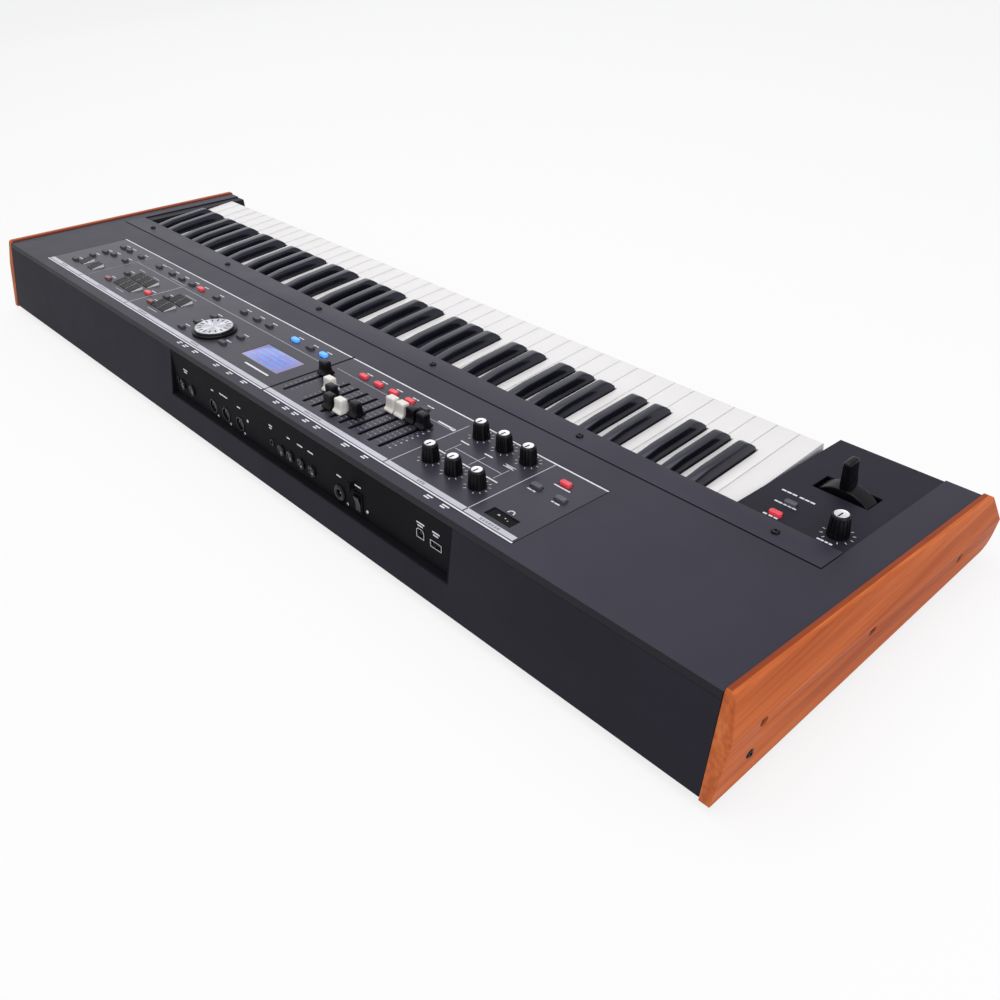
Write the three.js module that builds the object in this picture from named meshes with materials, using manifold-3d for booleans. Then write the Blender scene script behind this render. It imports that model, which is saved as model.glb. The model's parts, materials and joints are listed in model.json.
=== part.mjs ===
// A 73-note combo organ: a folded steel case between two wooden cheeks, with a waterfall keyboard, nine
// drawbars, effect knobs, wedge tabs, a data dial, a bender and a recessed jack bay at the rear.
// Millimetres. +X runs from the bass cheek to the treble cheek, +Y from the player to the rear, +Z is up.
// The origin lies on the floor, under the middle of the instrument.
import * as THREE from "three";
import { mergeVertices } from "three/addons/utils/BufferGeometryUtils.js";
import Module from "manifold-3d";

const wasm = await Module();
wasm.setup();

// Shared sizes
const fit = 0.3; // gap kept between pieces that rest on each other
const overrun = 3; // how far a cut runs past the faces that it opens
const sheet = 1.5; // steel sheet of the case and its panels
const boardThickness = 1.6;

// Keyboard: places along the depth are measured from the front faces of the white keys
const octaveWhites = 7;
const keys = {
  pitch: 23.5,
  whites: 43,
  hingedWhites: 7, // the bottom octave, whose keys are separate pieces
  sideGap: 0.9,
  visible: 129.7, // length of a white key in front of the cover strip
  blackTip: 46.5,
  blackWidth: 13.7,
  blackTopWidth: 9,
  notchGap: 1.4, // from a white key's notch to the black key in it
  endGap: 3.7, // from the outer keys to the end blocks
};
// Share of the pitch by which a black key stands off the joint between its two white keys
const blackOffsetShares = { 2: -0.14, 3: 0, 4: 0.14, 6: -0.105, 0: 0.105 };
const whiteKey = {
  frontRadius: 2.6,
  frontDrop: 19,
  frontLip: 24,
  bodyDrop: 12.5,
  tailLead: 26, // from the strip's front edge to where the top begins to fall to the tail
  tailRun: 19.3, // length of that fall
  tailRadius: 4.5,
  pivotDrop: 10,
  backPivot: 18, // behind the black keys' pivot
};
const blackKey = {
  height: 11,
  noseRun: 12,
  noseSlope: 9,
  noseStep: 3,
  noseTop: 10,
  foot: 9,
  droopLead: 22, // how far in front of the strip the top begins to fall
  droop: 1, // its fall
  droopRun: 11, // along this length
  tailRadius: 3.2,
  tailWidth: 8,
  tailDepth: 8.5,
  pivotRise: 2.5,
  bodyEnd: 14, // from the body's end to the pivot
  neck: 5,
  rootEnd: 22,
};
const chassis = {
  frontInset: 6,
  guideHeight: 19,
  guideDepth: 8,
  guideInset: 14,
  endReach: 2.4, // past the outer keys
  railLip: 4, // from a rail's front face to the pivot in it
  whiteRailDepth: 13,
  railCover: 2, // material over a white key's groove
  railSole: 3.2, // material under it
  web: 3,
  webInset: 1,
  neckInset: 0.5, // from the web's faces to the rail's neck
  blackPivotBack: 20.8, // behind the front edge of the top panel
  blackRailLip: 3,
  blackRailDepth: 11,
  blackRailCover: 3,
  flangeDepth: 26,
  flange: 2.5,
};

// Case
const cover = {
  depth: 27.9,
  thickness: 1.5,
  proud: 0.3,
  groove: 1.6,
  nearInset: 31.4,
  farInset: 19.4,
  ledge: 19,
  ledgeRoot: 1.8,
  screws: 6,
  screwInset: 49,
  screwPitch: 205.4,
  screwRadius: 3,
  screwRise: 2,
};
const panel = {
  depth: 151.6,
  overKeys: 11.2, // height over the white keys at the strip's front edge
  slope: THREE.MathUtils.degToRad(5.6),
  rearFlange: 6.2,
  nearArm: 30.5,
  farArm: 19.4,
};
const body = {
  belowKeys: 53.6,
  nose: 19.3, // how far the case reaches in front of the keys
  frontWall: 28.6,
  frontFlange: 11,
  rearLean: THREE.MathUtils.degToRad(13.8),
  cheekGap: 0.4,
};
const nearBlock = { width: 97.5, step: 1.5, wall: 2 };
const farBlock = { width: 16.2 };
const foot = { height: 10, radius: 15, tipRadius: 12, bevel: 1.5, sides: 18, inset: 62, frontInset: 24, rearInset: 42 };
const cheek = {
  screws: [
    { v: 30.6, drop: 30.7 },
    { v: 155, drop: 21.2 },
    { v: 283.7, drop: 9.9 },
    { v: 293.3, drop: 34.5 },
  ],
  screwRadius: 4.2,
  screwSink: 5,
  thickness: 14,
  topThickness: 8.2,
  bottomThickness: 8.9,
  proud: 1.3,
  below: 2.4, // how far the wood hangs under the steel
  creaseFront: 24,
  creaseRear: 30.4,
  noseTop: 1.6,
  noseCrease: 9,
  noseRadius: 13,
  noseBottom: 5,
  rearRadius: 4,
};

// Controls: places along the depth are measured from the front edge of the top panel
const field = {
  nearMargin: 205.7,
  farMargin: 94.2,
  boardFront: 44,
  boardRear: 133,
  boardDrop: 14,
  boardInset: 2,
  postRadius: 2.4,
  frontPosts: 60,
  rearPosts: 129.6,
  frontPostShares: [0.03, 0.51, 0.98],
  rearPostShares: [0.1, 0.51, 0.98],
  postSides: 8,
};
const drawbar = {
  count: 9,
  pitch: 14.9,
  middleShare: 0.281,
  capGap: 2.1,
  capLength: 13.6,
  capHeight: 15.8,
  capLift: 0.7,
  neckLength: 7.8,
  crown: 1.4,
  ringShares: [0, 0.12, 0.27, 0.55, 0.9, 1], // heights of a cap's rings, as shares of its height
  stemWidth: 2.4,
  stemLength: 6,
  stemDrop: 9,
  slotWidth: 3.8,
  slotFront: 69.9,
  travel: 47.5,
};
// How far each drawbar is pulled out in the rest pose, as a share of its travel
const drawbarRestShares = [0.99, 0.99, 0.99, 0.99, 0.34, 0.22, 0.18, 0.43, 0.6];
const whiteDrawbars = [2, 3, 5, 8];
const level = { middleShare: 0.3872, restShare: 0.96 };
const fader = { width: 9, height: 8.5, well: 4.6, gap: 0.8, wall: 1 };
const knob = {
  pitch: 30.2,
  rows: [47.3, 104.2],
  middleShare: 0.1237,
  radius: 7.4,
  topRadius: 6.3,
  height: 15.5,
  lift: 0.6,
  flutes: 8,
  fluteDepth: 0.55,
  capRadius: 4.7,
  capSides: 12,
  capRise: 0.4,
  shaft: 3,
  shaftDrop: 8,
  potRadius: 5.5,
  potHeight: 5,
};
const volume = { radius: 8.9, topRadius: 7.2, height: 18, capRadius: 6, uShare: 0.18, back: 129.3, cupRadius: 6.5, cupDrop: 14 };
const dial = {
  middleShare: 0.5857,
  place: 101,
  radius: 24,
  discRadius: 20.5,
  skirtHeight: 3.2,
  height: 6,
  shaft: 4,
  sides: 30,
};
const button = { length: 11, width: 5.5, rise: 2.7, hole: 0.45, corner: 1.9, edge: 0.7, travel: 0.8, stem: 9, stemWidth: 3, skirt: 1.5, switchHeight: 3.6 };
const rowPlace = 51.3;
const hingedRowShares = [0.2684, 0.2967, 0.3239, 0.3515];
const fixedRowShares = [
  0.2433, 0.4317, 0.46, 0.4917, 0.5518, 0.5814, 0.6135, 0.6841, 0.7257, 0.7509, 0.7806, 0.8087, 0.8478, 0.905,
  0.9438, 0.9635,
];
const sensor = { length: 30, width: 12, middleShare: 0.0352, place: 120.3, sink: 0.6, thickness: 3, buttonReach: 13.8 };
const sensorButtonPlaces = { outer: 70, middle: 50.4 };
const tab = {
  pitch: 16,
  width: 15.2,
  depth: 15.6,
  rowPitch: 21,
  frontRise: 3.4,
  rearRise: 0.7,
  rearRow: 108.6,
  hole: 0.45,
};
const tabGroups = [
  { middleShare: 0.7049, columns: 2, rows: 2 },
  { middleShare: 0.8085, columns: 3, rows: 2 },
  { middleShare: 0.913, columns: 1, rows: 1 },
  { middleShare: 0.944, columns: 1, rows: 1 },
];
// Buttons beside the dial: distance from its middle, places behind the panel's front edge
const dialColumns = [
  { reach: 35.3, rows: [82, 102.9, 121.7] },
  { reach: -35.3, rows: [90, 111.2] },
];
const tabButtonShares = [
  { share: 0.7309, rows: [93, 113] },
  { share: 0.7628, rows: [102.5] },
  { share: 0.8536, rows: [91, 115.4] },
  { share: 0.9074, rows: [72.2] },
  { share: 0.9443, rows: [72.7] },
  { share: 0.9635, rows: [76, 93.1, 115.7] },
];
const display = { length: 69.5, width: 33.8, middleShare: 0.4665, place: 93.2, frame: 5 };

// Bender and the two buttons beside it, on the near block
const bender = {
  uShare: 0.467,
  place: 52.7,
  openingLength: 50.8,
  openingWidth: 23,
  bodyRadius: 34,
  bodyWidth: 15,
  bodyHalfAngle: THREE.MathUtils.degToRad(76),
  hubRadius: 4,
  pivotDrop: 27.5,
  tabHeight: 25,
  tabLength: 9,
  tabWidth: 15,
  tabTopShare: 0.8,
  tabCrown: 1,
  cradleWall: 2,
  cradleGap: 0.6,
  pinRadius: 2.5,
  cradleEndGap: 1.5,
  cradleDrop: 9,
  cradleRise: 14,
  trunnionRadius: 2.2,
  earWidth: 3,
  earDepth: 9,
  earDrop: 4.5,
};
const blockButtons = { uShare: 0.678, stopPlace: 120.5, speedPlace: 100.4 };

// Rear bay: places along the width are shares of the bay's width from its bass end
const bay = {
  nearMargin: 260,
  width: 464,
  topDrop: 7,
  bottomDrop: 54.5,
  lean: THREE.MathUtils.degToRad(7),
  boardBack: 15,
  boardTop: 15,
  boardInset: 2,
};
const jack = { bore: 3.4, bushing: 4.8, rise: 0.9, body: 14, bodyHeight: 20, depth: 12, drop: 40.5 };
const jackShares = [0.4282, 0.4677, 0.508, 0.5411, 0.919, 0.9625];
const mini = { bore: 1.8, nut: 3.6, body: 8, rise: 0.6, drop: 38.5 };
const miniShares = [0.577, 0.9886];
const din = { radius: 7.6, ring: 1.3, depth: 8, pin: 0.8, pinCircle: 4.6, pins: 5, drop: 42, rise: 0.5, sink: 0.6 };
const dinSides = 12;
const dinShares = [0.7064, 0.7664, 0.8216];
const usbB = { share: 0.084, width: 8.5, height: 7.8, rim: 0.8, tongue: 2.4, depth: 9, drop: 30.5 };
const usbA = { share: 0.041, width: 13, height: 5.4, rim: 0.7, tongue: 1, depth: 9, drop: 32.5 };
const dcInlet = { share: 0.3335, outer: 8.2, bore: 3.2, pin: 1, rise: 2, depth: 8, drop: 44 };
const powerSwitch = {
  share: 0.2716,
  width: 7.6,
  height: 15,
  frame: 1.6,
  rockerGap: 0.8,
  drop: 41,
  proud: 1.2,
  depth: 5,
  crest: 2.6,
  tilt: THREE.MathUtils.degToRad(8),
  pin: 1.2,
  pivotDepth: 3,
};
const cordHook = { share: 0.288, width: 4, height: 5, rise: 5, drop: 27 };

// Main board: its place along the width is a share of the case's width
const mainBoard = {
  uShare: 0.36,
  length: 340,
  front: 226,
  depth: 72,
  rise: 5,
  standoff: 2.5,
  standoffInset: 6,
  chips: [
    { at: 0.12, size: 22, back: 0.3, height: 2 },
    { at: 0.35, size: 28, back: 0.4, height: 2.4 },
    { at: 0.62, size: 16, back: 0.2, height: 1.6 },
    { at: 0.82, size: 24, back: 0.45, height: 9 },
  ],
};

// Derived levels and places
const caseFloor = foot.height;
const keyTop = caseFloor + body.belowKeys;
const coverRear = keys.visible + cover.depth;
const panelFront = coverRear + cover.groove;
const panelRear = panelFront + panel.depth;
const firstKey = panel.nearArm + nearBlock.width + keys.endGap;
const lastKey = firstKey + keys.whites * keys.pitch;
const innerWidth = lastKey + keys.endGap + farBlock.width + panel.farArm;
const slopeOf = Math.tan(panel.slope);
const planeZ = (v) => keyTop + panel.overKeys + (v - keys.visible) * slopeOf;
const rearHeight = planeZ(panelRear) - caseFloor;
const rearBottom = panelRear + rearHeight * Math.tan(body.rearLean);
const noseBack = -body.nose - cheek.noseCrease;
const cheekRearBottom = rearBottom + cheek.below * Math.tan(body.rearLean);
const middleDepth = (noseBack + cheekRearBottom) / 2;
const blackPivot = { v: panelFront + chassis.blackPivotBack, z: keyTop + blackKey.pivotRise };
const whitePivot = { v: blackPivot.v + whiteKey.backPivot, z: keyTop - whiteKey.pivotDrop };
const fieldWidth = innerWidth - field.nearMargin - field.farMargin;
const worldX = (u) => u - innerWidth / 2;
const worldY = (v) => v - middleDepth;
const fieldU = (share) => field.nearMargin + share * fieldWidth;
const panelV = (place) => panelFront + place;

// Materials
const finish = (color, roughness, metalness = 0) => new THREE.MeshStandardMaterial({ color, roughness, metalness });
const paint = finish(0x2f2f37, 0.55, 0.3);
const cherry = finish(0xb8622c, 0.5);
const ivory = finish(0xf2f0ec, 0.3);
const ebony = finish(0x1a1a1f, 0.35);
const blackPlastic = finish(0x151517, 0.4);
const whitePlastic = finish(0xeeeae2, 0.4);
const greyPlastic = finish(0x45454c, 0.5);
const redPlastic = finish(0xd6313f, 0.35);
const rubber = finish(0x161616, 0.9);
const darkGlass = finish(0x101018, 0.1);
const blueGlass = finish(0x5a5ae0, 0.2);
const silver = finish(0xc6c8cc, 0.3, 0.9);
const laminate = finish(0x1f5a38, 0.6);

// Solids and meshes
function solidOf(geometry) {
  const plain = geometry.index ? geometry.toNonIndexed() : geometry.clone();
  plain.deleteAttribute("normal");
  plain.deleteAttribute("uv");
  const merged = mergeVertices(plain, 1e-4);
  return new wasm.Manifold(
    new wasm.Mesh({
      numProp: 3,
      vertProperties: Float32Array.from(merged.attributes.position.array),
      triVerts: Uint32Array.from(merged.index.array),
    }),
  );
}

function geometryOf(solid) {
  const mesh = solid.getMesh();
  const positions = new Float32Array(mesh.numVert * 3);
  for (let i = 0; i < mesh.numVert; i++) {
    positions.set(mesh.vertProperties.subarray(i * mesh.numProp, i * mesh.numProp + 3), i * 3);
  }
  const geometry = new THREE.BufferGeometry();
  geometry.setAttribute("position", new THREE.BufferAttribute(positions, 3));
  geometry.setIndex(new THREE.BufferAttribute(Uint32Array.from(mesh.triVerts), 1));
  geometry.computeVertexNormals();
  return geometry;
}

const organ = new THREE.Group();

function addPiece(name, shape, material) {
  const geometry = shape.isBufferGeometry ? shape : geometryOf(shape);
  const mesh = new THREE.Mesh(geometry, material);
  mesh.name = name;
  organ.add(mesh);
  return mesh;
}

const join = (pieces) => pieces.reduce((sum, piece) => sum.add(piece));
const cut = (solid, tools) => tools.reduce((rest, tool) => rest.subtract(tool), solid);

// An outline of [depth, height] points, carried along the width from u0 to u1
const alongWidth = new THREE.Matrix4().makeBasis(
  new THREE.Vector3(0, 1, 0),
  new THREE.Vector3(0, 0, 1),
  new THREE.Vector3(1, 0, 0),
);

function bar(points, u0, u1) {
  const shape = new THREE.Shape(points.map(([v, z]) => new THREE.Vector2(worldY(v), z)));
  const geometry = new THREE.ExtrudeGeometry(shape, { depth: u1 - u0, bevelEnabled: false });
  return solidOf(geometry.applyMatrix4(alongWidth).translate(worldX(u0), 0, 0));
}

const rectangle = (v0, v1, z0, z1) => [
  [v0, z0],
  [v1, z0],
  [v1, z1],
  [v0, z1],
];
const block = (u0, u1, v0, v1, z0, z1) => bar(rectangle(v0, v1, z0, z1), u0, u1);

// Points of an arc about [a, b], from one angle to another
function arc(a, b, radius, from, to, steps) {
  return Array.from({ length: steps + 1 }, (_, i) => {
    const angle = from + ((to - from) * i) / steps;
    return [a + radius * Math.cos(angle), b + radius * Math.sin(angle)];
  });
}

const quarter = Math.PI / 2;
const fullTurn = 4 * quarter;
const grooveSides = 16;
const tailSteps = 4; // faces of a key's round tail

// Points of a rectangle with rounded corners, in its own plane
function roundedRectangle(length, width, radius, steps) {
  const a = length / 2 - radius;
  const b = width / 2 - radius;
  return [
    ...arc(a, b, radius, 0, quarter, steps),
    ...arc(-a, b, radius, quarter, 2 * quarter, steps),
    ...arc(-a, -b, radius, 2 * quarter, 3 * quarter, steps),
    ...arc(a, -b, radius, 3 * quarter, 4 * quarter, steps),
  ];
}

// A closed body through rings of points that share one count, capped at both ends
function loft(rings) {
  const count = rings[0].length;
  const positions = rings.flat(2);
  const faces = [];
  rings.slice(1).forEach((_, r) => {
    for (let i = 0; i < count; i++) {
      const a = r * count + i;
      const b = r * count + ((i + 1) % count);
      faces.push(a, b, b + count, a, b + count, a + count);
    }
  });
  const last = (rings.length - 1) * count;
  for (let i = 1; i < count - 1; i++) {
    faces.push(0, i + 1, i, last, last + i, last + i + 1);
  }
  const geometry = new THREE.BufferGeometry();
  geometry.setAttribute("position", new THREE.Float32BufferAttribute(positions, 3));
  geometry.setIndex(faces);
  return geometry;
}

const raised = (points, height) => points.map(([x, y]) => [x, y, height]);
const circle = (radius, sides) => arc(0, 0, radius, 0, (2 * Math.PI * (sides - 1)) / sides, sides - 1);
const column = (radius, sides, z0, z1) => loft([raised(circle(radius, sides), z0), raised(circle(radius, sides), z1)]);

function box(length, width, z0, z1) {
  const geometry = new THREE.BoxGeometry(length, width, z1 - z0);
  geometry.translate(0, 0, (z0 + z1) / 2);
  return geometry;
}

// Frame of the sloping top at (u, v): x along the width, y up the slope, z square to the panel
const onTop = (u, v) =>
  new THREE.Matrix4().makeTranslation(worldX(u), worldY(v), planeZ(v)).multiply(
    new THREE.Matrix4().makeRotationX(panel.slope),
  );
const seated = (geometry, frame) => geometry.clone().applyMatrix4(frame);
const seatedSolid = (geometry, frame) => solidOf(seated(geometry, frame));

// Frame of the jack plate at (u, drop below the top edge): x to the bass end, y up the plate, z out of the bay
const rearAt = (drop) => panelRear + drop * Math.tan(body.rearLean);
const bayPlateAt = (drop) => rearAt(bay.topDrop) + (drop - bay.topDrop) * Math.tan(bay.lean);
const rearTop = planeZ(panelRear);

function onBay(u, drop) {
  const basis = new THREE.Matrix4().makeBasis(
    new THREE.Vector3(-1, 0, 0),
    new THREE.Vector3(0, -Math.sin(bay.lean), Math.cos(bay.lean)),
    new THREE.Vector3(0, Math.cos(bay.lean), Math.sin(bay.lean)),
  );
  return basis.setPosition(worldX(u), worldY(bayPlateAt(drop)), rearTop - drop);
}
const bayU = (share) => bay.nearMargin + share * bay.width;

// Points on the panel's plane, at depth v and at a level over or under it
const onLevel = (v, over) => [v, planeZ(v) + over];
const underPlate = -sheet;

// A round or rounded cut that runs through a sheet from one level to another
const through = (points, z0, z1) => loft([raised(points, z0), raised(points, z1)]);
const sheetCut = (points) => through(points, -sheet - overrun, overrun);

// Joints between white keys, counted from the bass, and the black keys that stand on them
const isBlackJoint = (k) => k > 0 && k < keys.whites && k % octaveWhites in blackOffsetShares;
const jointU = (k) => firstKey + k * keys.pitch;
const blackMiddle = (k) => jointU(k) + blackOffsetShares[k % octaveWhites] * keys.pitch;
const notchHalf = keys.blackWidth / 2 + keys.notchGap;

function notchKey(solid, index) {
  const sides = [index, index + 1].filter(isBlackJoint).map((k) => {
    const middle = blackMiddle(k);
    const [u0, u1] = k === index ? [jointU(k) - overrun, middle + notchHalf] : [middle - notchHalf, jointU(k) + overrun];
    return block(u0, u1, keys.blackTip - keys.notchGap, whitePivot.v + chassis.whiteRailDepth, caseFloor, keyTop + overrun);
  });
  return cut(solid, sides);
}

function whiteTop() {
  const { frontRadius, frontDrop, frontLip, bodyDrop, tailLead, tailRun, tailRadius } = whiteKey;
  const fall = keys.visible + tailLead;
  return {
    front: [
      [frontLip, keyTop - bodyDrop],
      [frontLip, keyTop - frontDrop],
      [0, keyTop - frontDrop],
      ...arc(frontRadius, keyTop - frontRadius, frontRadius, 2 * quarter, quarter, 2),
      [fall, keyTop],
      [fall + tailRun, whitePivot.z + tailRadius],
    ],
    under: [fall + tailRun, whitePivot.z - tailRadius],
  };
}

function whiteSpan(index) {
  const start = jointU(index) + keys.sideGap / 2;
  return [start, start + keys.pitch - keys.sideGap];
}

function hingedWhiteKey(index) {
  const { front, under } = whiteTop();
  const tail = arc(whitePivot.v, whitePivot.z, whiteKey.tailRadius, quarter, -quarter, tailSteps);
  return notchKey(bar([...front, ...tail, under], ...whiteSpan(index)), index);
}

function seatedWhiteKey(index) {
  const { front, under } = whiteTop();
  const root = [
    [whitePivot.v, whitePivot.z + whiteKey.tailRadius],
    [whitePivot.v, whitePivot.z - whiteKey.tailRadius],
  ];
  return notchKey(bar([...front, ...root, under], ...whiteSpan(index)), index);
}

// Cross-section of a black key at depth v, with its top and its foot at the given heights over the white keys
function blackRing(middle, v, top, foot) {
  const { height } = blackKey;
  const halfAt = (z) => (keys.blackWidth - ((keys.blackWidth - keys.blackTopWidth) * Math.max(z, 0)) / height) / 2;
  const right = [
    [halfAt(0), -foot],
    [halfAt(0), 0],
    [halfAt(top), top],
  ];
  const left = right.map(([x, z]) => [-x, z]);
  return [...left, ...right.reverse()].map(([x, z]) => [worldX(middle) + x, worldY(v), keyTop + z]);
}

function blackBody(k, rearV) {
  const { height, noseSlope, noseRun, noseStep, noseTop, foot, droop, droopRun, droopLead } = blackKey;
  const middle = blackMiddle(k);
  const fall = keys.visible - droopLead;
  const tip = keys.blackTip;
  return solidOf(
    loft([
      blackRing(middle, tip, noseStep, foot),
      blackRing(middle, tip + noseSlope, noseTop, foot),
      blackRing(middle, tip + noseRun, height, foot),
      blackRing(middle, fall, height, foot),
      blackRing(middle, rearV, height - (droop * (rearV - fall)) / droopRun, foot),
    ]),
  );
}

function hingedBlackKey(k) {
  const { tailRadius, tailWidth, tailDepth, bodyEnd, neck } = blackKey;
  const middle = blackMiddle(k);
  const { v, z } = blackPivot;
  const end = v - bodyEnd;
  const tail = [
    [end - neck, z + tailRadius],
    [end - neck, keyTop - tailDepth],
    [end, keyTop - tailDepth],
    [end + bodyEnd - neck, z - tailRadius],
    ...arc(v, z, tailRadius, -quarter, quarter, tailSteps),
  ];
  return blackBody(k, end).add(bar(tail, middle - tailWidth / 2, middle + tailWidth / 2));
}

// Rails in which the keys' tails turn, cut open towards the keys along the bottom octave
const hingedEnd = jointU(keys.hingedWhites);
const railStart = firstKey - chassis.endReach;
const railEnd = lastKey + chassis.endReach;

function grooveTools(pivot, radius, reach) {
  const mouth = radius + 2 * fit;
  const hingedBlackEnd = hingedEnd + keys.pitch / 2;
  const end = pivot === blackPivot ? hingedBlackEnd : hingedEnd;
  return [
    bar(arc(pivot.v, pivot.z, radius + fit, 0, fullTurn - fullTurn / grooveSides, grooveSides - 1), firstKey, end),
    block(firstKey, end, pivot.v - reach - overrun, pivot.v, pivot.z - mouth, pivot.z + mouth),
  ];
}

// Folded frame on the case's floor: its guide rail in front, and a web that carries the rails at the rear
const railsFront = whitePivot.v - chassis.railLip;
const railsRear = railsFront + chassis.whiteRailDepth;
const railTop = whitePivot.z + whiteKey.tailRadius + fit + chassis.railCover;
const railFoot = whitePivot.z - whiteKey.tailRadius - fit - chassis.railSole;

function keyChassis() {
  const sole = caseFloor + sheet + fit;
  const base = sole + sheet;
  const webRear = railsRear - chassis.webInset;
  const webFront = webRear - chassis.web;
  const guideRear = chassis.guideInset + chassis.guideDepth;
  const frame = bar(
    [
      [chassis.frontInset, sole],
      [railsRear, sole],
      [railsRear, base],
      [webRear, base],
      [webRear, railFoot - fit],
      [webFront, railFoot - fit],
      [webFront, base],
      [guideRear, base],
      [guideRear, sole + chassis.guideHeight],
      [chassis.guideInset, sole + chassis.guideHeight],
      [chassis.guideInset, base],
      [chassis.frontInset, base],
    ],
    railStart,
    railEnd,
  );
  const neck = railFoot - chassis.railSole;
  const rail = bar(
    [
      [webFront + chassis.neckInset, neck],
      [webRear - chassis.neckInset, neck],
      [webRear - chassis.neckInset, railFoot],
      [railsRear, railFoot],
      [railsRear, railTop],
      [railsFront, railTop],
      [railsFront, railFoot],
      [webFront + chassis.neckInset, railFoot],
    ],
    railStart + fit,
    hingedEnd,
  );
  return join([frame, cut(rail, grooveTools(whitePivot, whiteKey.tailRadius, chassis.railLip))]);
}

// The upper white keys grow out of one rail, which lies on the frame's web
function upperWhiteKeys() {
  const rail = bar(rectangle(railsFront, railsRear, railFoot, railTop), hingedEnd + fit, railEnd);
  const seated = Array.from({ length: keys.whites - keys.hingedWhites }, (_, i) =>
    seatedWhiteKey(keys.hingedWhites + i),
  );
  return join([rail, ...seated]);
}

function upperBlackKeys() {
  const front = blackPivot.v - chassis.blackRailLip;
  const rear = front + chassis.blackRailDepth;
  const foot = railTop + fit;
  const top = blackPivot.z + blackKey.tailRadius + fit + chassis.blackRailCover;
  const rail = bar(
    [
      [front, foot],
      [front + chassis.flangeDepth, foot],
      [front + chassis.flangeDepth, foot + chassis.flange],
      [rear, foot + chassis.flange],
      [rear, top],
      [front, top],
    ],
    railStart,
    railEnd,
  );
  const joints = Array.from({ length: keys.whites }, (_, k) => k).filter(
    (k) => isBlackJoint(k) && k > keys.hingedWhites,
  );
  const bodies = joints.map((k) => blackBody(k, blackPivot.v));
  return join([cut(rail, grooveTools(blackPivot, blackKey.tailRadius, chassis.blackRailLip)), ...bodies]);
}

addPiece("key_chassis", keyChassis(), paint);
addPiece("upper_white_keys", upperWhiteKeys(), ivory);
addPiece("upper_black_keys", upperBlackKeys(), ebony);
const whiteNames = ["key_e1", "key_f1", "key_g1", "key_a1", "key_b1", "key_c2", "key_d2"];
const blackNames = { 2: "key_f_sharp1", 3: "key_g_sharp1", 4: "key_a_sharp1", 6: "key_c_sharp2", 7: "key_d_sharp2" };
whiteNames.forEach((name, index) => addPiece(name, hingedWhiteKey(index), ivory));
Object.entries(blackNames).forEach(([k, name]) => addPiece(name, hingedBlackKey(Number(k)), ebony));

// Case
const flangeFoot = caseFloor + body.frontWall + fit;

function bottomCase() {
  const inner = sheet + fit;
  const seam = panel.rearFlange + fit;
  const top = caseFloor + body.frontWall;
  const sideWall = [
    [-body.nose, caseFloor],
    [rearBottom, caseFloor],
    [rearAt(bay.topDrop), rearTop - bay.topDrop],
    [rearAt(bay.topDrop) - inner, rearTop - bay.topDrop],
    onLevel(panelRear - inner, -inner),
    onLevel(inner - body.nose, -inner),
    [inner - body.nose, top],
    [-body.nose, top],
  ];
  const rearWall = [
    [rearBottom, caseFloor],
    [rearAt(seam), rearTop - seam],
    [rearAt(seam) - sheet, rearTop - seam],
    [rearBottom - sheet, caseFloor],
  ];
  const bayCut = block(
    bay.nearMargin - sheet - fit,
    bay.nearMargin + bay.width + sheet + fit,
    panelRear - overrun,
    rearBottom + overrun,
    rearTop - bay.bottomDrop - sheet - fit,
    rearTop,
  );
  return join([
    block(0, innerWidth, -body.nose, rearBottom - sheet, caseFloor, caseFloor + sheet),
    block(0, innerWidth, -body.nose, sheet - body.nose, caseFloor, top),
    block(0, innerWidth, -body.nose, body.frontFlange - body.nose, top - sheet, top),
    bar(rearWall, 0, innerWidth).subtract(bayCut),
    bar(sideWall, 0, sheet),
    bar(sideWall, innerWidth - sheet, innerWidth),
  ]);
}

const armOutline = [
  onLevel(-body.nose, 0),
  onLevel(panelFront + sheet, 0),
  onLevel(panelFront + sheet, underPlate),
  onLevel(sheet - body.nose, underPlate),
  [sheet - body.nose, flangeFoot],
  [-body.nose, flangeFoot],
];

// Places of the controls in the top panel
const spanShare = (index, count) => (index + 0.5) / count - 0.5;
const drawbarU = (i) => fieldU(drawbar.middleShare) + spanShare(i, drawbar.count) * drawbar.count * drawbar.pitch;
const slotPlace = drawbar.slotFront + (drawbar.travel + drawbar.stemLength) / 2;
const sliderFront = panelV(drawbar.slotFront + drawbar.stemLength / 2);
const fxKnobPlaces = [-1, 0, 1].flatMap((column) =>
  knob.rows.map((row) => [fieldU(knob.middleShare) + column * knob.pitch, panelV(row)]),
);
const tabPlaces = tabGroups.flatMap(({ middleShare, columns, rows }) =>
  Array.from({ length: columns * rows }, (_, i) => [
    fieldU(middleShare) + spanShare(i % columns, columns) * columns * tab.pitch,
    panelV(tab.rearRow) - Math.floor(i / columns) * tab.rowPitch,
  ]),
);
const dialPlace = [fieldU(dial.middleShare), panelV(dial.place)];
const displayPlace = [fieldU(display.middleShare), panelV(display.place)];
const sensorPlace = [fieldU(sensor.middleShare), panelV(sensor.place)];
const effectPlaces = hingedRowShares.map((share) => [fieldU(share), panelV(rowPlace)]);
const sensorButtonPlace = [sensorPlace[0], panelV(sensorButtonPlaces.middle)];
const seatedButtonPlaces = [
  ...fixedRowShares.map((share) => [fieldU(share), panelV(rowPlace)]),
  ...tabButtonShares.flatMap(({ share, rows }) => rows.map((row) => [fieldU(share), panelV(row)])),
  ...dialColumns.flatMap(({ reach, rows }) => rows.map((row) => [dialPlace[0] + reach, panelV(row)])),
  ...[-1, 1].map((side) => [sensorPlace[0] + side * sensor.buttonReach, panelV(sensorButtonPlaces.outer)]),
];
const levelU = fieldU(level.middleShare);
const sliderUs = [...Array.from({ length: drawbar.count }, (_, i) => drawbarU(i)), levelU];
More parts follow.
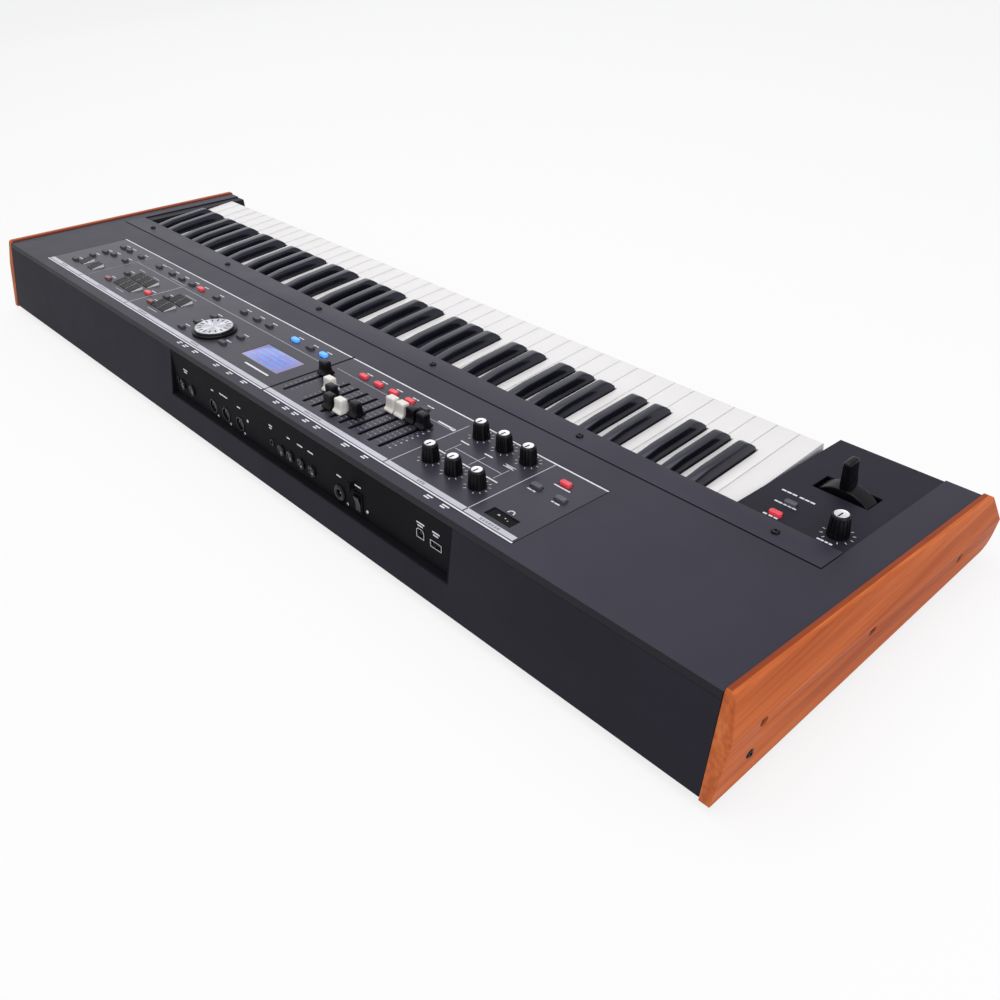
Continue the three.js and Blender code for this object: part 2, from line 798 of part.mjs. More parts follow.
const postPlaces = [
  ...field.frontPostShares.map((share) => [fieldU(share), panelV(field.frontPosts)]),
  ...field.rearPostShares.map((share) => [fieldU(share), panelV(field.rearPosts)]),
];

const holeRectangle = (length, width, gap) => [
  [length / 2 + gap, width / 2 + gap],
  [-length / 2 - gap, width / 2 + gap],
  [-length / 2 - gap, -width / 2 - gap],
  [length / 2 + gap, -width / 2 - gap],
];
const cutAt = (points, places) => places.map(([u, v]) => seatedSolid(sheetCut(points), onTop(u, v)));

function topPanel() {
  const plate = [
    onLevel(panelFront, 0),
    onLevel(panelRear, 0),
    [rearAt(panel.rearFlange), rearTop - panel.rearFlange],
    [rearAt(panel.rearFlange) - sheet, rearTop - panel.rearFlange],
    onLevel(panelRear - sheet, underPlate),
    onLevel(panelFront, underPlate),
  ];
  const seat = cover.proud - cover.thickness - fit;
  const ledgeFront = panelFront - cover.ledge;
  const ledge = [
    onLevel(ledgeFront, seat),
    onLevel(panelFront, seat),
    onLevel(panelFront, seat / 2),
    onLevel(panelFront + cover.ledgeRoot, seat / 2),
    onLevel(panelFront + cover.ledgeRoot, seat - sheet),
    onLevel(ledgeFront, seat - sheet),
  ];
  const post = column(field.postRadius, field.postSides, fit - field.boardDrop, underPlate / 2);
  const tools = [
    ...cutAt(holeRectangle(drawbar.slotWidth, drawbar.travel + drawbar.stemLength, fit), sliderUs.map((u) => [u, panelV(slotPlace)])),
    ...cutAt(circle(knob.shaft + fit, 10), fxKnobPlaces),
    ...cutAt(circle(dial.shaft + fit, 10), [dialPlace]),
    ...cutAt(holeRectangle(display.length, display.width, 0), [displayPlace]),
    ...cutAt(holeRectangle(sensor.length, sensor.width, 0), [sensorPlace]),
    ...cutAt(holeRectangle(tab.width, tab.depth, tab.hole), tabPlaces),
    ...cutAt(holeRectangle(button.length, button.width, button.hole), [...seatedButtonPlaces, ...effectPlaces, sensorButtonPlace]),
  ];
  const sheetMetal = join([
    bar(plate, 0, innerWidth),
    bar(ledge, firstKey - keys.endGap + cover.groove, lastKey + keys.endGap - cover.groove),
    bar(armOutline, 0, panel.nearArm),
    bar(armOutline, innerWidth - panel.farArm, innerWidth),
  ]);
  return join([cut(sheetMetal, tools), ...postPlaces.map(([u, v]) => seatedSolid(post, onTop(u, v)))]);
}

function frontStrip() {
  const plate = bar(
    [
      onLevel(keys.visible, cover.proud),
      onLevel(coverRear, cover.proud),
      onLevel(coverRear, cover.proud - cover.thickness),
      onLevel(keys.visible, cover.proud - cover.thickness),
    ],
    cover.nearInset,
    innerWidth - cover.farInset,
  );
  const half = cover.screwRise / 2;
  const head = loft([
    raised(circle(cover.screwRadius, 8), -half),
    raised(circle(cover.screwRadius, 8), cover.proud + half),
    raised(circle(cover.screwRadius / 2, 8), cover.proud + cover.screwRise),
  ]);
  const screws = Array.from({ length: cover.screws }, (_, i) =>
    seatedSolid(head, onTop(cover.nearInset + cover.screwInset + i * cover.screwPitch, (keys.visible + coverRear) / 2)),
  );
  return join([plate, ...screws]);
}

addPiece("bottom_case", bottomCase(), paint);
addPiece("top_panel", topPanel(), paint);
addPiece("front_strip", frontStrip(), paint);

// End blocks: a folded plate a step lower than the arms, with a wall beside the keys
function endBlock(u0, u1, wallU) {
  const top = -nearBlock.step;
  const rear = coverRear - fit;
  const shell = [
    onLevel(-body.nose, top),
    onLevel(rear, top),
    onLevel(rear, top - sheet),
    onLevel(sheet - body.nose, top - sheet),
    [sheet - body.nose, flangeFoot],
    [-body.nose, flangeFoot],
  ];
  const wall = [onLevel(-body.nose, top), onLevel(rear, top), [rear, flangeFoot], [-body.nose, flangeFoot]];
  return bar(shell, u0, u1).add(bar(wall, wallU, wallU + nearBlock.wall));
}

const nearStart = panel.nearArm + fit;
const nearEnd = panel.nearArm + nearBlock.width - fit;
const blockU = (share) => panel.nearArm + share * nearBlock.width;
const onBlock = (u, v) => onTop(u, v).multiply(new THREE.Matrix4().makeTranslation(0, 0, -nearBlock.step));
const volumePlace = [blockU(volume.uShare), volume.back - body.nose];
const stopPlace = [blockU(blockButtons.uShare), blockButtons.stopPlace];
const speedPlace = [blockU(blockButtons.uShare), blockButtons.speedPlace];
const benderU = blockU(bender.uShare);
// The bender's frame is level, with its origin where the lever and the cradle turn
const benderPivotZ = planeZ(bender.place) - nearBlock.step - bender.pivotDrop;
const atBender = new THREE.Matrix4().makeTranslation(worldX(benderU), worldY(bender.place), benderPivotZ);
const cradleHalf = bender.bodyRadius + bender.cradleEndGap;
const cradleOuter = cradleHalf + bender.cradleWall;
const earStart = cradleOuter + bender.cradleGap;

// A column that lies along the width, between two distances from the frame's origin
function pinAlongWidth(radius, sides, x0, x1) {
  const pin = column(radius, sides, x0, x1);
  return pin.applyMatrix4(new THREE.Matrix4().makeRotationY(quarter));
}

function pinAlongDepth(radius, sides, y0, y1) {
  const pin = column(radius, sides, y0, y1);
  return pin.applyMatrix4(new THREE.Matrix4().makeRotationX(-quarter));
}

function nearBlockSolid() {
  const open = -nearBlock.step;
  const potCup = column(volume.cupRadius, 16, -volume.cupDrop, -sheet / 2);
  const bore = column(knob.shaft + fit, 12, -volume.cupDrop + sheet, overrun);
  const ears = [-1, 1].map((side) => {
    const near = side > 0 ? earStart : -earStart - bender.earWidth;
    return seatedSolid(
      box(bender.earWidth, bender.earDepth, -bender.earDrop, bender.pivotDrop - sheet / 2).translate(
        near + bender.earWidth / 2,
        0,
        0,
      ),
      atBender,
    );
  });
  const tools = [
    seatedSolid(bore, onBlock(...volumePlace)),
    seatedSolid(sheetCut(holeRectangle(bender.openingLength, bender.openingWidth, 0)), onBlock(benderU, bender.place)),
    ...[stopPlace, speedPlace].map(([u, v]) =>
      seatedSolid(sheetCut(holeRectangle(button.length, button.width, button.hole)), onBlock(u, v)),
    ),
    seatedSolid(
      pinAlongWidth(bender.trunnionRadius + fit, 12, -earStart - bender.earWidth - overrun, earStart + bender.earWidth + overrun),
      atBender,
    ),
  ];
  const shell = endBlock(nearStart, nearEnd, nearEnd - nearBlock.wall);
  return cut(join([shell, seatedSolid(potCup, onBlock(...volumePlace)), ...ears]), tools);
}

addPiece("near_block", nearBlockSolid(), paint);
const farStart = lastKey + keys.endGap;
addPiece("far_block", endBlock(farStart, innerWidth - panel.farArm - fit, farStart), paint);

// Cheeks: a board whose outer side slopes to a crease, thickest along it
function cheekBoard() {
  const top = (v) => [v, planeZ(v) + cheek.proud];
  const bottom = caseFloor - cheek.below;
  const noseTop = -body.nose - cheek.noseTop;
  const noseCrease = -body.nose - cheek.noseCrease;
  const creaseFront = [noseCrease, keyTop - cheek.creaseFront - cheek.noseTop];
  const outlinePoints = [
    top(noseTop),
    creaseFront,
    ...arc(noseCrease + cheek.noseRadius, bottom + cheek.noseRadius, cheek.noseRadius, 2 * quarter, 3 * quarter, 6),
    [cheekRearBottom, bottom],
    ...arc(panelRear - cheek.rearRadius, top(panelRear)[1] - cheek.rearRadius, cheek.rearRadius, 0, quarter, 3),
  ];
  const creaseRear = [panelRear, rearTop - cheek.creaseRear];
  const creaseSlope = (creaseRear[1] - creaseFront[1]) / (creaseRear[0] - creaseFront[0]);
  const outer = -body.cheekGap - cheek.thickness;
  const topBevel = cheek.thickness - cheek.topThickness;
  const bottomBevel = cheek.thickness - cheek.bottomThickness;
  // Section across the board at depth v, carried a little past the top and the bottom
  const section = (v) => {
    const crease = creaseFront[1] + creaseSlope * (v - creaseFront[0]);
    const [, upper] = top(v);
    const beyondTop = outer + (topBevel * (upper + overrun - crease)) / (upper - crease);
    const beyondBottom = outer + (bottomBevel * (crease - bottom + overrun)) / (crease - bottom);
    return [
      [-body.cheekGap, bottom - overrun],
      [beyondBottom, bottom - overrun],
      [outer, crease],
      [beyondTop, upper + overrun],
      [-body.cheekGap, upper + overrun],
    ].map(([u, z]) => [worldX(u), worldY(v), z]);
  };
  const board = bar(outlinePoints, outer - overrun, -body.cheekGap + overrun);
  const trimmed = board.intersect(solidOf(loft([section(noseCrease - overrun), section(cheekRearBottom + overrun)])));
  const recesses = cheek.screws.map(({ v, drop }) =>
    seatedSolid(
      pinAlongWidth(cheek.screwRadius, 10, -cheek.thickness - overrun, cheek.screwSink - cheek.thickness),
      new THREE.Matrix4().makeTranslation(worldX(0), worldY(v), keyTop - drop),
    ),
  );
  return cut(trimmed, recesses);
}

addPiece("near_cheek", cheekBoard(), cherry);
addPiece("far_cheek", cheekBoard(), cherry).scale.x = -1;

// Feet
const footShape = loft([
  raised(circle(foot.tipRadius, foot.sides), 0),
  raised(circle(foot.radius, foot.sides), foot.bevel),
  raised(circle(foot.radius, foot.sides), foot.height - fit),
]);
const footPlaces = {
  foot_front_near: [foot.inset, foot.frontInset - body.nose],
  foot_front_far: [innerWidth - foot.inset, foot.frontInset - body.nose],
  foot_rear_near: [foot.inset, rearBottom - foot.rearInset],
  foot_rear_far: [innerWidth - foot.inset, rearBottom - foot.rearInset],
};
Object.entries(footPlaces).forEach(([name, [u, v]]) =>
  addPiece(name, footShape.clone().translate(worldX(u), worldY(v), 0), rubber),
);

// Drawbars and the level slider
function sliderCap() {
  const { capLength, capHeight, capLift, neckLength, crown, pitch, capGap, ringShares } = drawbar;
  const width = pitch - capGap;
  const sizes = [
    [capLength, width],
    [capLength, width],
    [neckLength + crown, width - crown / 2],
    [neckLength, width - crown],
    [neckLength, width - crown],
    [neckLength - crown, width - 2 * crown],
  ];
  const rings = sizes.map(([length, across], i) =>
    raised(roundedRectangle(across, length, crown, 1), capLift + ringShares[i] * capHeight),
  );
  return solidOf(loft(rings));
}
const sliderStem = solidOf(box(drawbar.stemWidth, drawbar.stemLength, -drawbar.stemDrop, drawbar.capLift + drawbar.crown));
const sliderSolid = sliderCap().add(sliderStem);
const sliderV = (restShare) => sliderFront + (1 - restShare) * drawbar.travel;
const solidAt = (solid, frame) => solid.transform(frame.elements);

drawbarRestShares.forEach((restShare, i) => {
  const material = whiteDrawbars.includes(i) ? whitePlastic : blackPlastic;
  addPiece("drawbar_" + (i + 1), solidAt(sliderSolid, onTop(drawbarU(i), sliderV(restShare))), material);
});
addPiece("level_slider", solidAt(sliderSolid, onTop(levelU, sliderV(level.restShare))), blackPlastic);

// Knobs: a fluted skirt with a metal cap
function flutedRing(radius, flutes, depth, height) {
  const points = circle(radius, 2 * flutes).map(([x, y], i) => {
    const share = i % 2 ? 1 : 1 - depth / radius;
    return [x * share, y * share, height];
  });
  return points;
}

function knobSolid(radius, topRadius, height, capRadius) {
  const { lift, flutes, fluteDepth, capRise, shaft, shaftDrop } = knob;
  const top = lift + height;
  const skirt = loft([
    flutedRing(radius, flutes, fluteDepth, lift),
    flutedRing(topRadius, flutes, fluteDepth, top - fluteDepth),
    flutedRing(topRadius - fluteDepth, flutes, fluteDepth, top),
  ]);
  return join([
    solidOf(skirt),
    solidOf(column(capRadius, knob.capSides, top - capRise, top + capRise)),
    solidOf(column(shaft, 8, lift - shaftDrop, lift + fluteDepth)),
  ]);
}

fxKnobPlaces.forEach(([u, v], i) =>
  addPiece("fx_knob_" + (i + 1), solidAt(knobSolid(knob.radius, knob.topRadius, knob.height, knob.capRadius), onTop(u, v)), blackPlastic),
);
addPiece(
  "volume_knob",
  solidAt(knobSolid(volume.radius, volume.topRadius, volume.height, volume.capRadius), onBlock(...volumePlace)),
  blackPlastic,
);

function dataDial() {
  const { radius, discRadius, skirtHeight, height, shaft, sides } = dial;
  const { lift, shaftDrop } = knob;
  const disc = loft([
    raised(circle(radius, sides), lift),
    raised(circle(radius, sides), skirtHeight),
    raised(circle(discRadius, sides), skirtHeight),
    raised(circle(discRadius, sides), height),
  ]);
  return solidOf(disc).add(solidOf(column(shaft, 12, lift - shaftDrop, skirtHeight)));
}
addPiece("data_dial", solidAt(dataDial(), onTop(...dialPlace)), silver);

// Buttons: a cap with a bevelled top on a stem
function buttonCap(foot) {
  const { length, width, rise, corner, edge } = button;
  return loft([
    raised(roundedRectangle(length, width, corner, 1), foot),
    raised(roundedRectangle(length, width, corner, 1), rise - edge),
    raised(roundedRectangle(length - 2 * edge, width - 2 * edge, corner - edge, 1), rise),
  ]);
}
const buttonSolid = solidOf(buttonCap(-sheet - button.skirt)).add(
  solidOf(box(button.stemWidth, button.stemWidth, -button.stem, -sheet)),
);
effectPlaces.forEach(([u, v], i) => addPiece("effect_button_" + (i + 1), solidAt(buttonSolid, onTop(u, v)), redPlastic));
addPiece("sensor_button", solidAt(buttonSolid, onTop(...sensorButtonPlace)), redPlastic);
addPiece("stop_button", solidAt(buttonSolid, onBlock(...stopPlace)), redPlastic);
addPiece("speed_button", solidAt(buttonSolid, onBlock(...speedPlace)), greyPlastic);

// Display and sensor
addPiece(
  "display_window",
  solidAt(solidOf(box(display.length - 2 * fit, display.width - 2 * fit, -sheet, -fit)), onTop(...displayPlace)),
  blueGlass,
);
addPiece(
  "sensor_window",
  solidAt(
    solidOf(box(sensor.length - 2 * fit, sensor.width - 2 * fit, -sensor.sink - sensor.thickness, -sensor.sink)),
    onTop(...sensorPlace),
  ),
  darkGlass,
);

// Panel board, with the display's module, the fader housings, the pots, the key switches, and the seated buttons and tabs
function tabWedge() {
  const { width, depth, frontRise, rearRise } = tab;
  const foot = -field.boardDrop - boardThickness / 2;
  const bottom = raised(holeRectangle(width, depth, 0), foot);
  const top = holeRectangle(width, depth, 0).map(([x, y]) => [x, y, y > 0 ? rearRise : frontRise]);
  return loft([bottom, top]);
}

function panelBoard() {
  const middle = (field.boardFront + field.boardRear) / 2;
  const root = -field.boardDrop - boardThickness / 2;
  const board = seatedSolid(
    box(fieldWidth - 2 * field.boardInset, field.boardRear - field.boardFront, -field.boardDrop - boardThickness, -field.boardDrop),
    onTop(fieldU(0.5), panelV(middle)),
  );
  const housingLength = drawbar.travel + drawbar.stemLength + 2 * fader.gap;
  const housing = solidOf(box(fader.width, housingLength + 2 * fader.wall, root, fader.height - field.boardDrop)).subtract(
    solidOf(box(fader.well, housingLength, fader.wall - field.boardDrop, overrun)),
  );
  const pot = solidOf(column(knob.potRadius, 8, root, knob.potHeight - field.boardDrop));
  const keySwitch = solidOf(box(button.width, button.width, root, button.switchHeight - field.boardDrop));
  const seatedButton = solidOf(buttonCap(root));
  const wedge = solidOf(tabWedge());
  const module = solidOf(box(display.length + 2 * display.frame, display.width + 2 * display.frame, root, -sheet - fit));
  return join([
    board,
    solidAt(module, onTop(...displayPlace)),
    ...sliderUs.map((u) => solidAt(housing, onTop(u, panelV(slotPlace)))),
    ...[...fxKnobPlaces, dialPlace].map(([u, v]) => solidAt(pot, onTop(u, v))),
    ...[...effectPlaces, sensorButtonPlace].map(([u, v]) => solidAt(keySwitch, onTop(u, v))),
    ...seatedButtonPlaces.map(([u, v]) => solidAt(seatedButton, onTop(u, v))),
    ...tabPlaces.map(([u, v]) => solidAt(wedge, onTop(u, v))),
  ]);
}
addPiece("panel_board", panelBoard(), greyPlastic);

// Bender: a rocking half-disc with a tab, in a cradle that tips away from the player
function benderLever() {
  const { bodyRadius, bodyWidth, bodyHalfAngle, hubRadius, tabHeight, tabLength, tabWidth, tabTopShare, tabCrown } = bender;
  const across = bodyWidth / 2;
  const sector = [
    [-hubRadius, -hubRadius],
    [hubRadius, -hubRadius],
    ...arc(0, 0, bodyRadius, quarter - bodyHalfAngle, quarter + bodyHalfAngle, 18),
  ];
  const swept = loft([
    sector.map(([x, z]) => [x, across, z]),
    sector.map(([x, z]) => [x, -across, z]),
  ]);
  const root = bodyRadius - hubRadius;
  const tabRing = (share, height) => raised(roundedRectangle(tabLength * share, tabWidth * share, hubRadius / 2, 3), height);
  const lever = loft([tabRing(1, root), tabRing(tabTopShare, bodyRadius + tabHeight - tabCrown), tabRing(tabTopShare ** 2, bodyRadius + tabHeight)]);
  const reach = across + bender.cradleGap + bender.cradleWall + fit;
  return join([solidOf(swept), solidOf(lever), solidOf(pinAlongDepth(bender.pinRadius, 12, -reach, reach))]);
}

function benderCradle() {
  const { bodyWidth, cradleWall, cradleGap, cradleDrop, cradleRise, pinRadius, trunnionRadius, earWidth } = bender;
  const innerHalf = bodyWidth / 2 + cradleGap;
  const outerHalf = innerHalf + cradleWall;
  const trunnionEnd = earStart + earWidth;
  const frame = solidOf(box(2 * cradleOuter, 2 * outerHalf, -cradleDrop, cradleRise)).subtract(
    solidOf(box(2 * cradleHalf, 2 * innerHalf, -cradleDrop - overrun, cradleRise + overrun)),
  );
  const trunnions = [
    pinAlongWidth(trunnionRadius, 12, cradleHalf + cradleWall / 2, trunnionEnd),
    pinAlongWidth(trunnionRadius, 12, -trunnionEnd, -cradleHalf - cradleWall / 2),
  ].map(solidOf);
  return join([
    frame.subtract(solidOf(pinAlongDepth(pinRadius + fit, 12, -outerHalf - overrun, outerHalf + overrun))),
    ...trunnions,
  ]);
}
addPiece("bender_lever", solidAt(benderLever(), atBender), blackPlastic);
addPiece("bender_cradle", solidAt(benderCradle(), atBender), greyPlastic);

// Jack bay: places on the plate, sockets on a board behind it
const bayMiddle = onBay(bayU(0.5), (bay.topDrop + bay.bottomDrop) / 2);
const bayCutAt = (geometry, share, drop) => seatedSolid(geometry, onBay(bayU(share), drop));
const plateCut = (points) => through(points, -sheet - overrun, overrun);

function jackPlate() {
  const start = panel.rearFlange + fit;
  const end = bay.bottomDrop + sheet;
  const at = (drop, inward) => [bayPlateAt(drop) - inward, rearTop - drop];
  const plate = [at(start, 0), at(end, 0), at(end, sheet), at(start, sheet)];
  const ledge = [
    at(bay.bottomDrop, sheet / 2),
    [rearAt(bay.bottomDrop), rearTop - bay.bottomDrop],
    [rearAt(end), rearTop - end],
    at(end, sheet / 2),
  ];
  const side = [at(bay.topDrop, sheet / 2), [rearAt(end), rearTop - end], at(end, sheet / 2)];
  const u0 = bay.nearMargin - sheet;
  const u1 = bay.nearMargin + bay.width + sheet;
  const { width, height, frame, proud, rockerGap, depth } = powerSwitch;
  const bezel = bayCutAt(box(width + 2 * (frame + rockerGap), height + 2 * (frame + rockerGap), -depth, proud), powerSwitch.share, powerSwitch.drop);
  const hook = join([
    bayCutAt(box(cordHook.width, cordHook.height, -sheet / 2, cordHook.rise), cordHook.share, cordHook.drop),
    bayCutAt(box(cordHook.width, 2 * cordHook.height, cordHook.rise - sheet, cordHook.rise), cordHook.share, cordHook.drop),
  ]);
  const tools = [
    ...jackShares.map((share) => bayCutAt(plateCut(circle(jack.bushing + fit, 12)), share, jack.drop)),
    ...miniShares.map((share) => bayCutAt(plateCut(circle(mini.nut + fit, 8)), share, mini.drop)),
    ...dinShares.map((share) => bayCutAt(plateCut(circle(din.radius + fit, dinSides)), share, din.drop)),
    bayCutAt(plateCut(holeRectangle(usbB.width + 2 * usbB.rim, usbB.height + 2 * usbB.rim, fit)), usbB.share, usbB.drop),
    bayCutAt(plateCut(holeRectangle(usbA.width + 2 * usbA.rim, usbA.height + 2 * usbA.rim, fit)), usbA.share, usbA.drop),
    bayCutAt(plateCut(circle(dcInlet.outer + fit, 14)), dcInlet.share, dcInlet.drop),
    bayCutAt(box(width + 2 * rockerGap, height + 2 * rockerGap, -depth - overrun, proud + overrun), powerSwitch.share, powerSwitch.drop),
    seatedSolid(
      pinAlongWidth(powerSwitch.pin + fit, 10, -width / 2 - rockerGap - frame / 2, width / 2 + rockerGap + frame / 2).translate(0, 0, -powerSwitch.pivotDepth),
      onBay(bayU(powerSwitch.share), powerSwitch.drop),
    ),
  ];
  const folded = join([
    bar(plate, u0, u1),
    bar(ledge, u0, u1),
    bar(side, u0, u0 + sheet),
    bar(side, u1 - sheet, u1),
    bezel,
    hook,
  ]);
  return cut(folded, tools);
}
addPiece("jack_plate", jackPlate(), paint);

function rocker() {
  const { width, height, depth, pin, pivotDepth, rockerGap, frame, crest } = powerSwitch;
  const half = height / 2;
  const dip = crest - half * Math.tan(powerSwitch.tilt);
  const side = [
    [-half, -depth],
    [half, -depth],
    [half, crest],
    [0, dip],
    [-half, crest],
  ];
  const reach = width / 2;
  const key = loft([side.map(([y, z]) => [-reach, y, z]), side.map(([y, z]) => [reach, y, z])]);
  const pinEnd = reach + rockerGap + frame / 2 - fit;
  const pivot = pinAlongWidth(pin, 10, -pinEnd, pinEnd).translate(0, 0, -pivotDepth);
  const tipped = new THREE.Matrix4()
    .makeTranslation(0, 0, -pivotDepth)
    .multiply(new THREE.Matrix4().makeRotationX(powerSwitch.tilt))
    .multiply(new THREE.Matrix4().makeTranslation(0, 0, pivotDepth));
  return solidAt(solidOf(key).add(solidOf(pivot)), onBay(bayU(powerSwitch.share), powerSwitch.drop).multiply(tipped));
}
addPiece("power_switch", rocker(), blackPlastic);

// Each socket stands on the board, and its mouth reaches through the plate
const socketFoot = -bay.boardBack - boardThickness / 2;
const backOfPlate = -sheet - fit;

function jackSocket() {
  return join([
    solidOf(box(jack.body, jack.bodyHeight, socketFoot, backOfPlate)),
    solidOf(column(jack.bushing, 10, backOfPlate - fit, jack.rise)),
  ]).subtract(solidOf(column(jack.bore, 12, -jack.depth, overrun)));
}

function miniSocket() {
  return join([
    solidOf(box(mini.body, jack.bodyHeight / 2, socketFoot, backOfPlate)),
    solidOf(column(mini.nut, 8, backOfPlate - fit, mini.rise)),
  ]).subtract(solidOf(column(mini.bore, 6, -jack.depth, overrun)));
}

function dinSocket() {
  const pins = Array.from({ length: din.pins }, (_, i) => {
    const angle = (i * Math.PI) / (din.pins - 1);
    return solidOf(
      column(din.pin, 4, -din.depth, din.rise).translate(din.pinCircle * Math.cos(angle), din.pinCircle * Math.sin(angle), 0),
    );
  });
  return cut(solidOf(column(din.radius, dinSides, socketFoot, din.rise)), [
    solidOf(column(din.radius - din.ring, dinSides, -din.sink, din.rise + overrun)),
    ...pins,
  ]);
}

function usbSocket({ width, height, rim, tongue, depth }) {
  return solidOf(box(width + 2 * rim, height + 2 * rim, socketFoot, fit))
    .subtract(solidOf(box(width, height, -depth, overrun)))
    .add(solidOf(box(width - 2 * tongue, tongue, -depth - rim, -rim)));
}

function powerInlet() {
  return solidOf(column(dcInlet.outer, 14, socketFoot, dcInlet.rise))
    .subtract(solidOf(column(dcInlet.bore, 10, -dcInlet.depth, dcInlet.rise + overrun)))
    .add(solidOf(column(dcInlet.pin, 6, -dcInlet.depth - dcInlet.pin, 0)));
}

function jackBoard() {
  const span = bay.bottomDrop - bay.boardTop;
  const board = seatedSolid(
    box(bay.width - 2 * bay.boardInset, span, -bay.boardBack - boardThickness, -bay.boardBack),
    onBay(bayU(0.5), bay.boardTop + span / 2),
  );
  const at = (solid, share, drop) => solidAt(solid, onBay(bayU(share), drop));
  return join([
    board,
    ...jackShares.map((share) => at(jackSocket(), share, jack.drop)),
    ...miniShares.map((share) => at(miniSocket(), share, mini.drop)),
    ...dinShares.map((share) => at(dinSocket(), share, din.drop)),
    at(usbSocket(usbB), usbB.share, usbB.drop),
    at(usbSocket(usbA), usbA.share, usbA.drop),
    at(powerInlet(), dcInlet.share, dcInlet.drop),
  ]);
}
addPiece("jack_board", jackBoard(), greyPlastic);

// Main board on its standoffs behind the keyboard
function mainBoardSolid() {
  const { uShare, length, front, depth, rise, standoff, standoffInset, chips } = mainBoard;
  const u0 = uShare * innerWidth;
  const foot = caseFloor + sheet + fit;
  const top = foot + rise + boardThickness;
  const corners = [standoffInset, length - standoffInset].flatMap((u) =>
    [standoffInset, depth - standoffInset].map((v) =>
      solidOf(column(standoff, 10, foot, foot + rise + boardThickness / 2).translate(worldX(u0 + u), worldY(front + v), 0)),
    ),
  );
  const parts = chips.map(({ at, size, back, height }) =>
    block(u0 + at * length, u0 + at * length + size, front + back * depth, front + back * depth + size, top - boardThickness / 2, top + height),
  );
  return join([block(u0, u0 + length, front, front + depth, foot + rise, top), ...corners, ...parts]);
}
addPiece("main_board", mainBoardSolid(), laminate);

export default organ;
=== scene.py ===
"""Looks of the combo organ: keys, controls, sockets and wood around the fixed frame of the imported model.

Every size in the classes is in millimetres. Places along the width are u, from the bass side of the case, and
places along the depth are v, from the front faces of the white keys. Blender's objects are in metres.
"""

import json
import logging
import math
from contextlib import contextmanager
from dataclasses import dataclass, field
from enum import Enum
from typing import Callable, Iterator, Sequence

import bmesh
import bpy
from mathutils import Matrix, Vector

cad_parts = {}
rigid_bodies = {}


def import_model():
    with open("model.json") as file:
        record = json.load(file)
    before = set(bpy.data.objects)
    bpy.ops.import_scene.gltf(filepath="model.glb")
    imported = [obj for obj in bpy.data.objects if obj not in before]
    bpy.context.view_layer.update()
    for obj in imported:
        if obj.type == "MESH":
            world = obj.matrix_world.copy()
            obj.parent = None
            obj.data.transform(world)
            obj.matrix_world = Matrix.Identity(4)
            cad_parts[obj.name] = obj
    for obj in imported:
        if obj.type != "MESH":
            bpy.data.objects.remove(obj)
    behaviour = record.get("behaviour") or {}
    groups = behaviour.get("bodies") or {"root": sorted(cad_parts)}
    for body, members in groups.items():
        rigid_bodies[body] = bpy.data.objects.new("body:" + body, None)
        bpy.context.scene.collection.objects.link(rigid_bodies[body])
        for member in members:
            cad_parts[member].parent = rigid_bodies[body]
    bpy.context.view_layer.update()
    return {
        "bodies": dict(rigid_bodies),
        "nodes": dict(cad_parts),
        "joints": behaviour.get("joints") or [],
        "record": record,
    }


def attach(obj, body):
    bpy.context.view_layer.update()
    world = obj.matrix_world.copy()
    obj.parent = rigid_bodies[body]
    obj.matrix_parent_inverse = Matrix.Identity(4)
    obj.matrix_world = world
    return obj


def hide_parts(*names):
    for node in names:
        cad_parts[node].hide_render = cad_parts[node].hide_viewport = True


MM = 0.001
SQUARE = 0.9  # the least share of a normal along an axis that counts as square to it
NEAR = 0.1  # how close counts as at the same place
INK_SINK, INK_RISE = 0.06, 0.08  # how far the print reaches into the panel and over it
QUARTER = math.radians(90)
LOG = logging.getLogger("organ")
Pair = tuple[float, float]
Triple = tuple[float, float, float]
Colour = tuple[float, float, float]
Piece = bpy.types.Object
Material = bpy.types.Material
Tree = bpy.types.NodeTree
Socket = bpy.types.NodeSocket
Test = Callable[[Vector, Vector], bool]


class Pick(Enum):
    """What an edit-mode selection takes, with the name of the mesh's list of such parts."""

    VERTS = "verts"
    EDGES = "edges"
    FACES = "faces"


# ---------------------------------------------------------------- modelling tools


def release() -> None:
    """Leave edit mode and deselect every object."""
    active = bpy.context.view_layer.objects.active
    if active and active.mode != "OBJECT":
        bpy.ops.object.mode_set(mode="OBJECT")
    bpy.ops.object.select_all(action="DESELECT")


def take(piece: Piece) -> None:
    """Make one object the only selected one, and the active one.

    Args:
        piece: The object to work on.
    """
    release()
    piece.select_set(True)
    bpy.context.view_layer.objects.active = piece


def millimetres(values: Sequence[float]) -> Vector:
    """Turn three lengths in millimetres into metres."""
    return Vector(values) * MM


def settle(piece: Piece) -> Piece:
    """Apply an object's place, turn and scale to its mesh.

    Args:
        piece: The object to settle.

    Returns:
        The same object, at the origin.
    """
    take(piece)
    bpy.ops.object.transform_apply(location=True, rotation=True, scale=True)
    return piece


def put(piece: Piece, place: Matrix, name: str = "") -> Piece:
    """Set an object in its place.

    Args:
        piece: The object.
        place: The frame that it is set in.
        name: Its new name, if it gets one.

    Returns:
        The same object, settled.
    """
    piece.matrix_world = place
    piece.name = name or piece.name
    return settle(piece)


def start_block(name: str, low: Triple, high: Triple) -> Piece:
    """Add a block between two corners.

    Args:
        name: The object's name.
        low: Its lowest corner.
        high: Its highest corner.

    Returns:
        The new block.
    """
    release()
    bpy.ops.mesh.primitive_cube_add(size=1, location=(millimetres(low) + millimetres(high)) / 2)
    piece = bpy.context.object
    piece.name = name
    piece.scale = millimetres(high) - millimetres(low)
    return settle(piece)


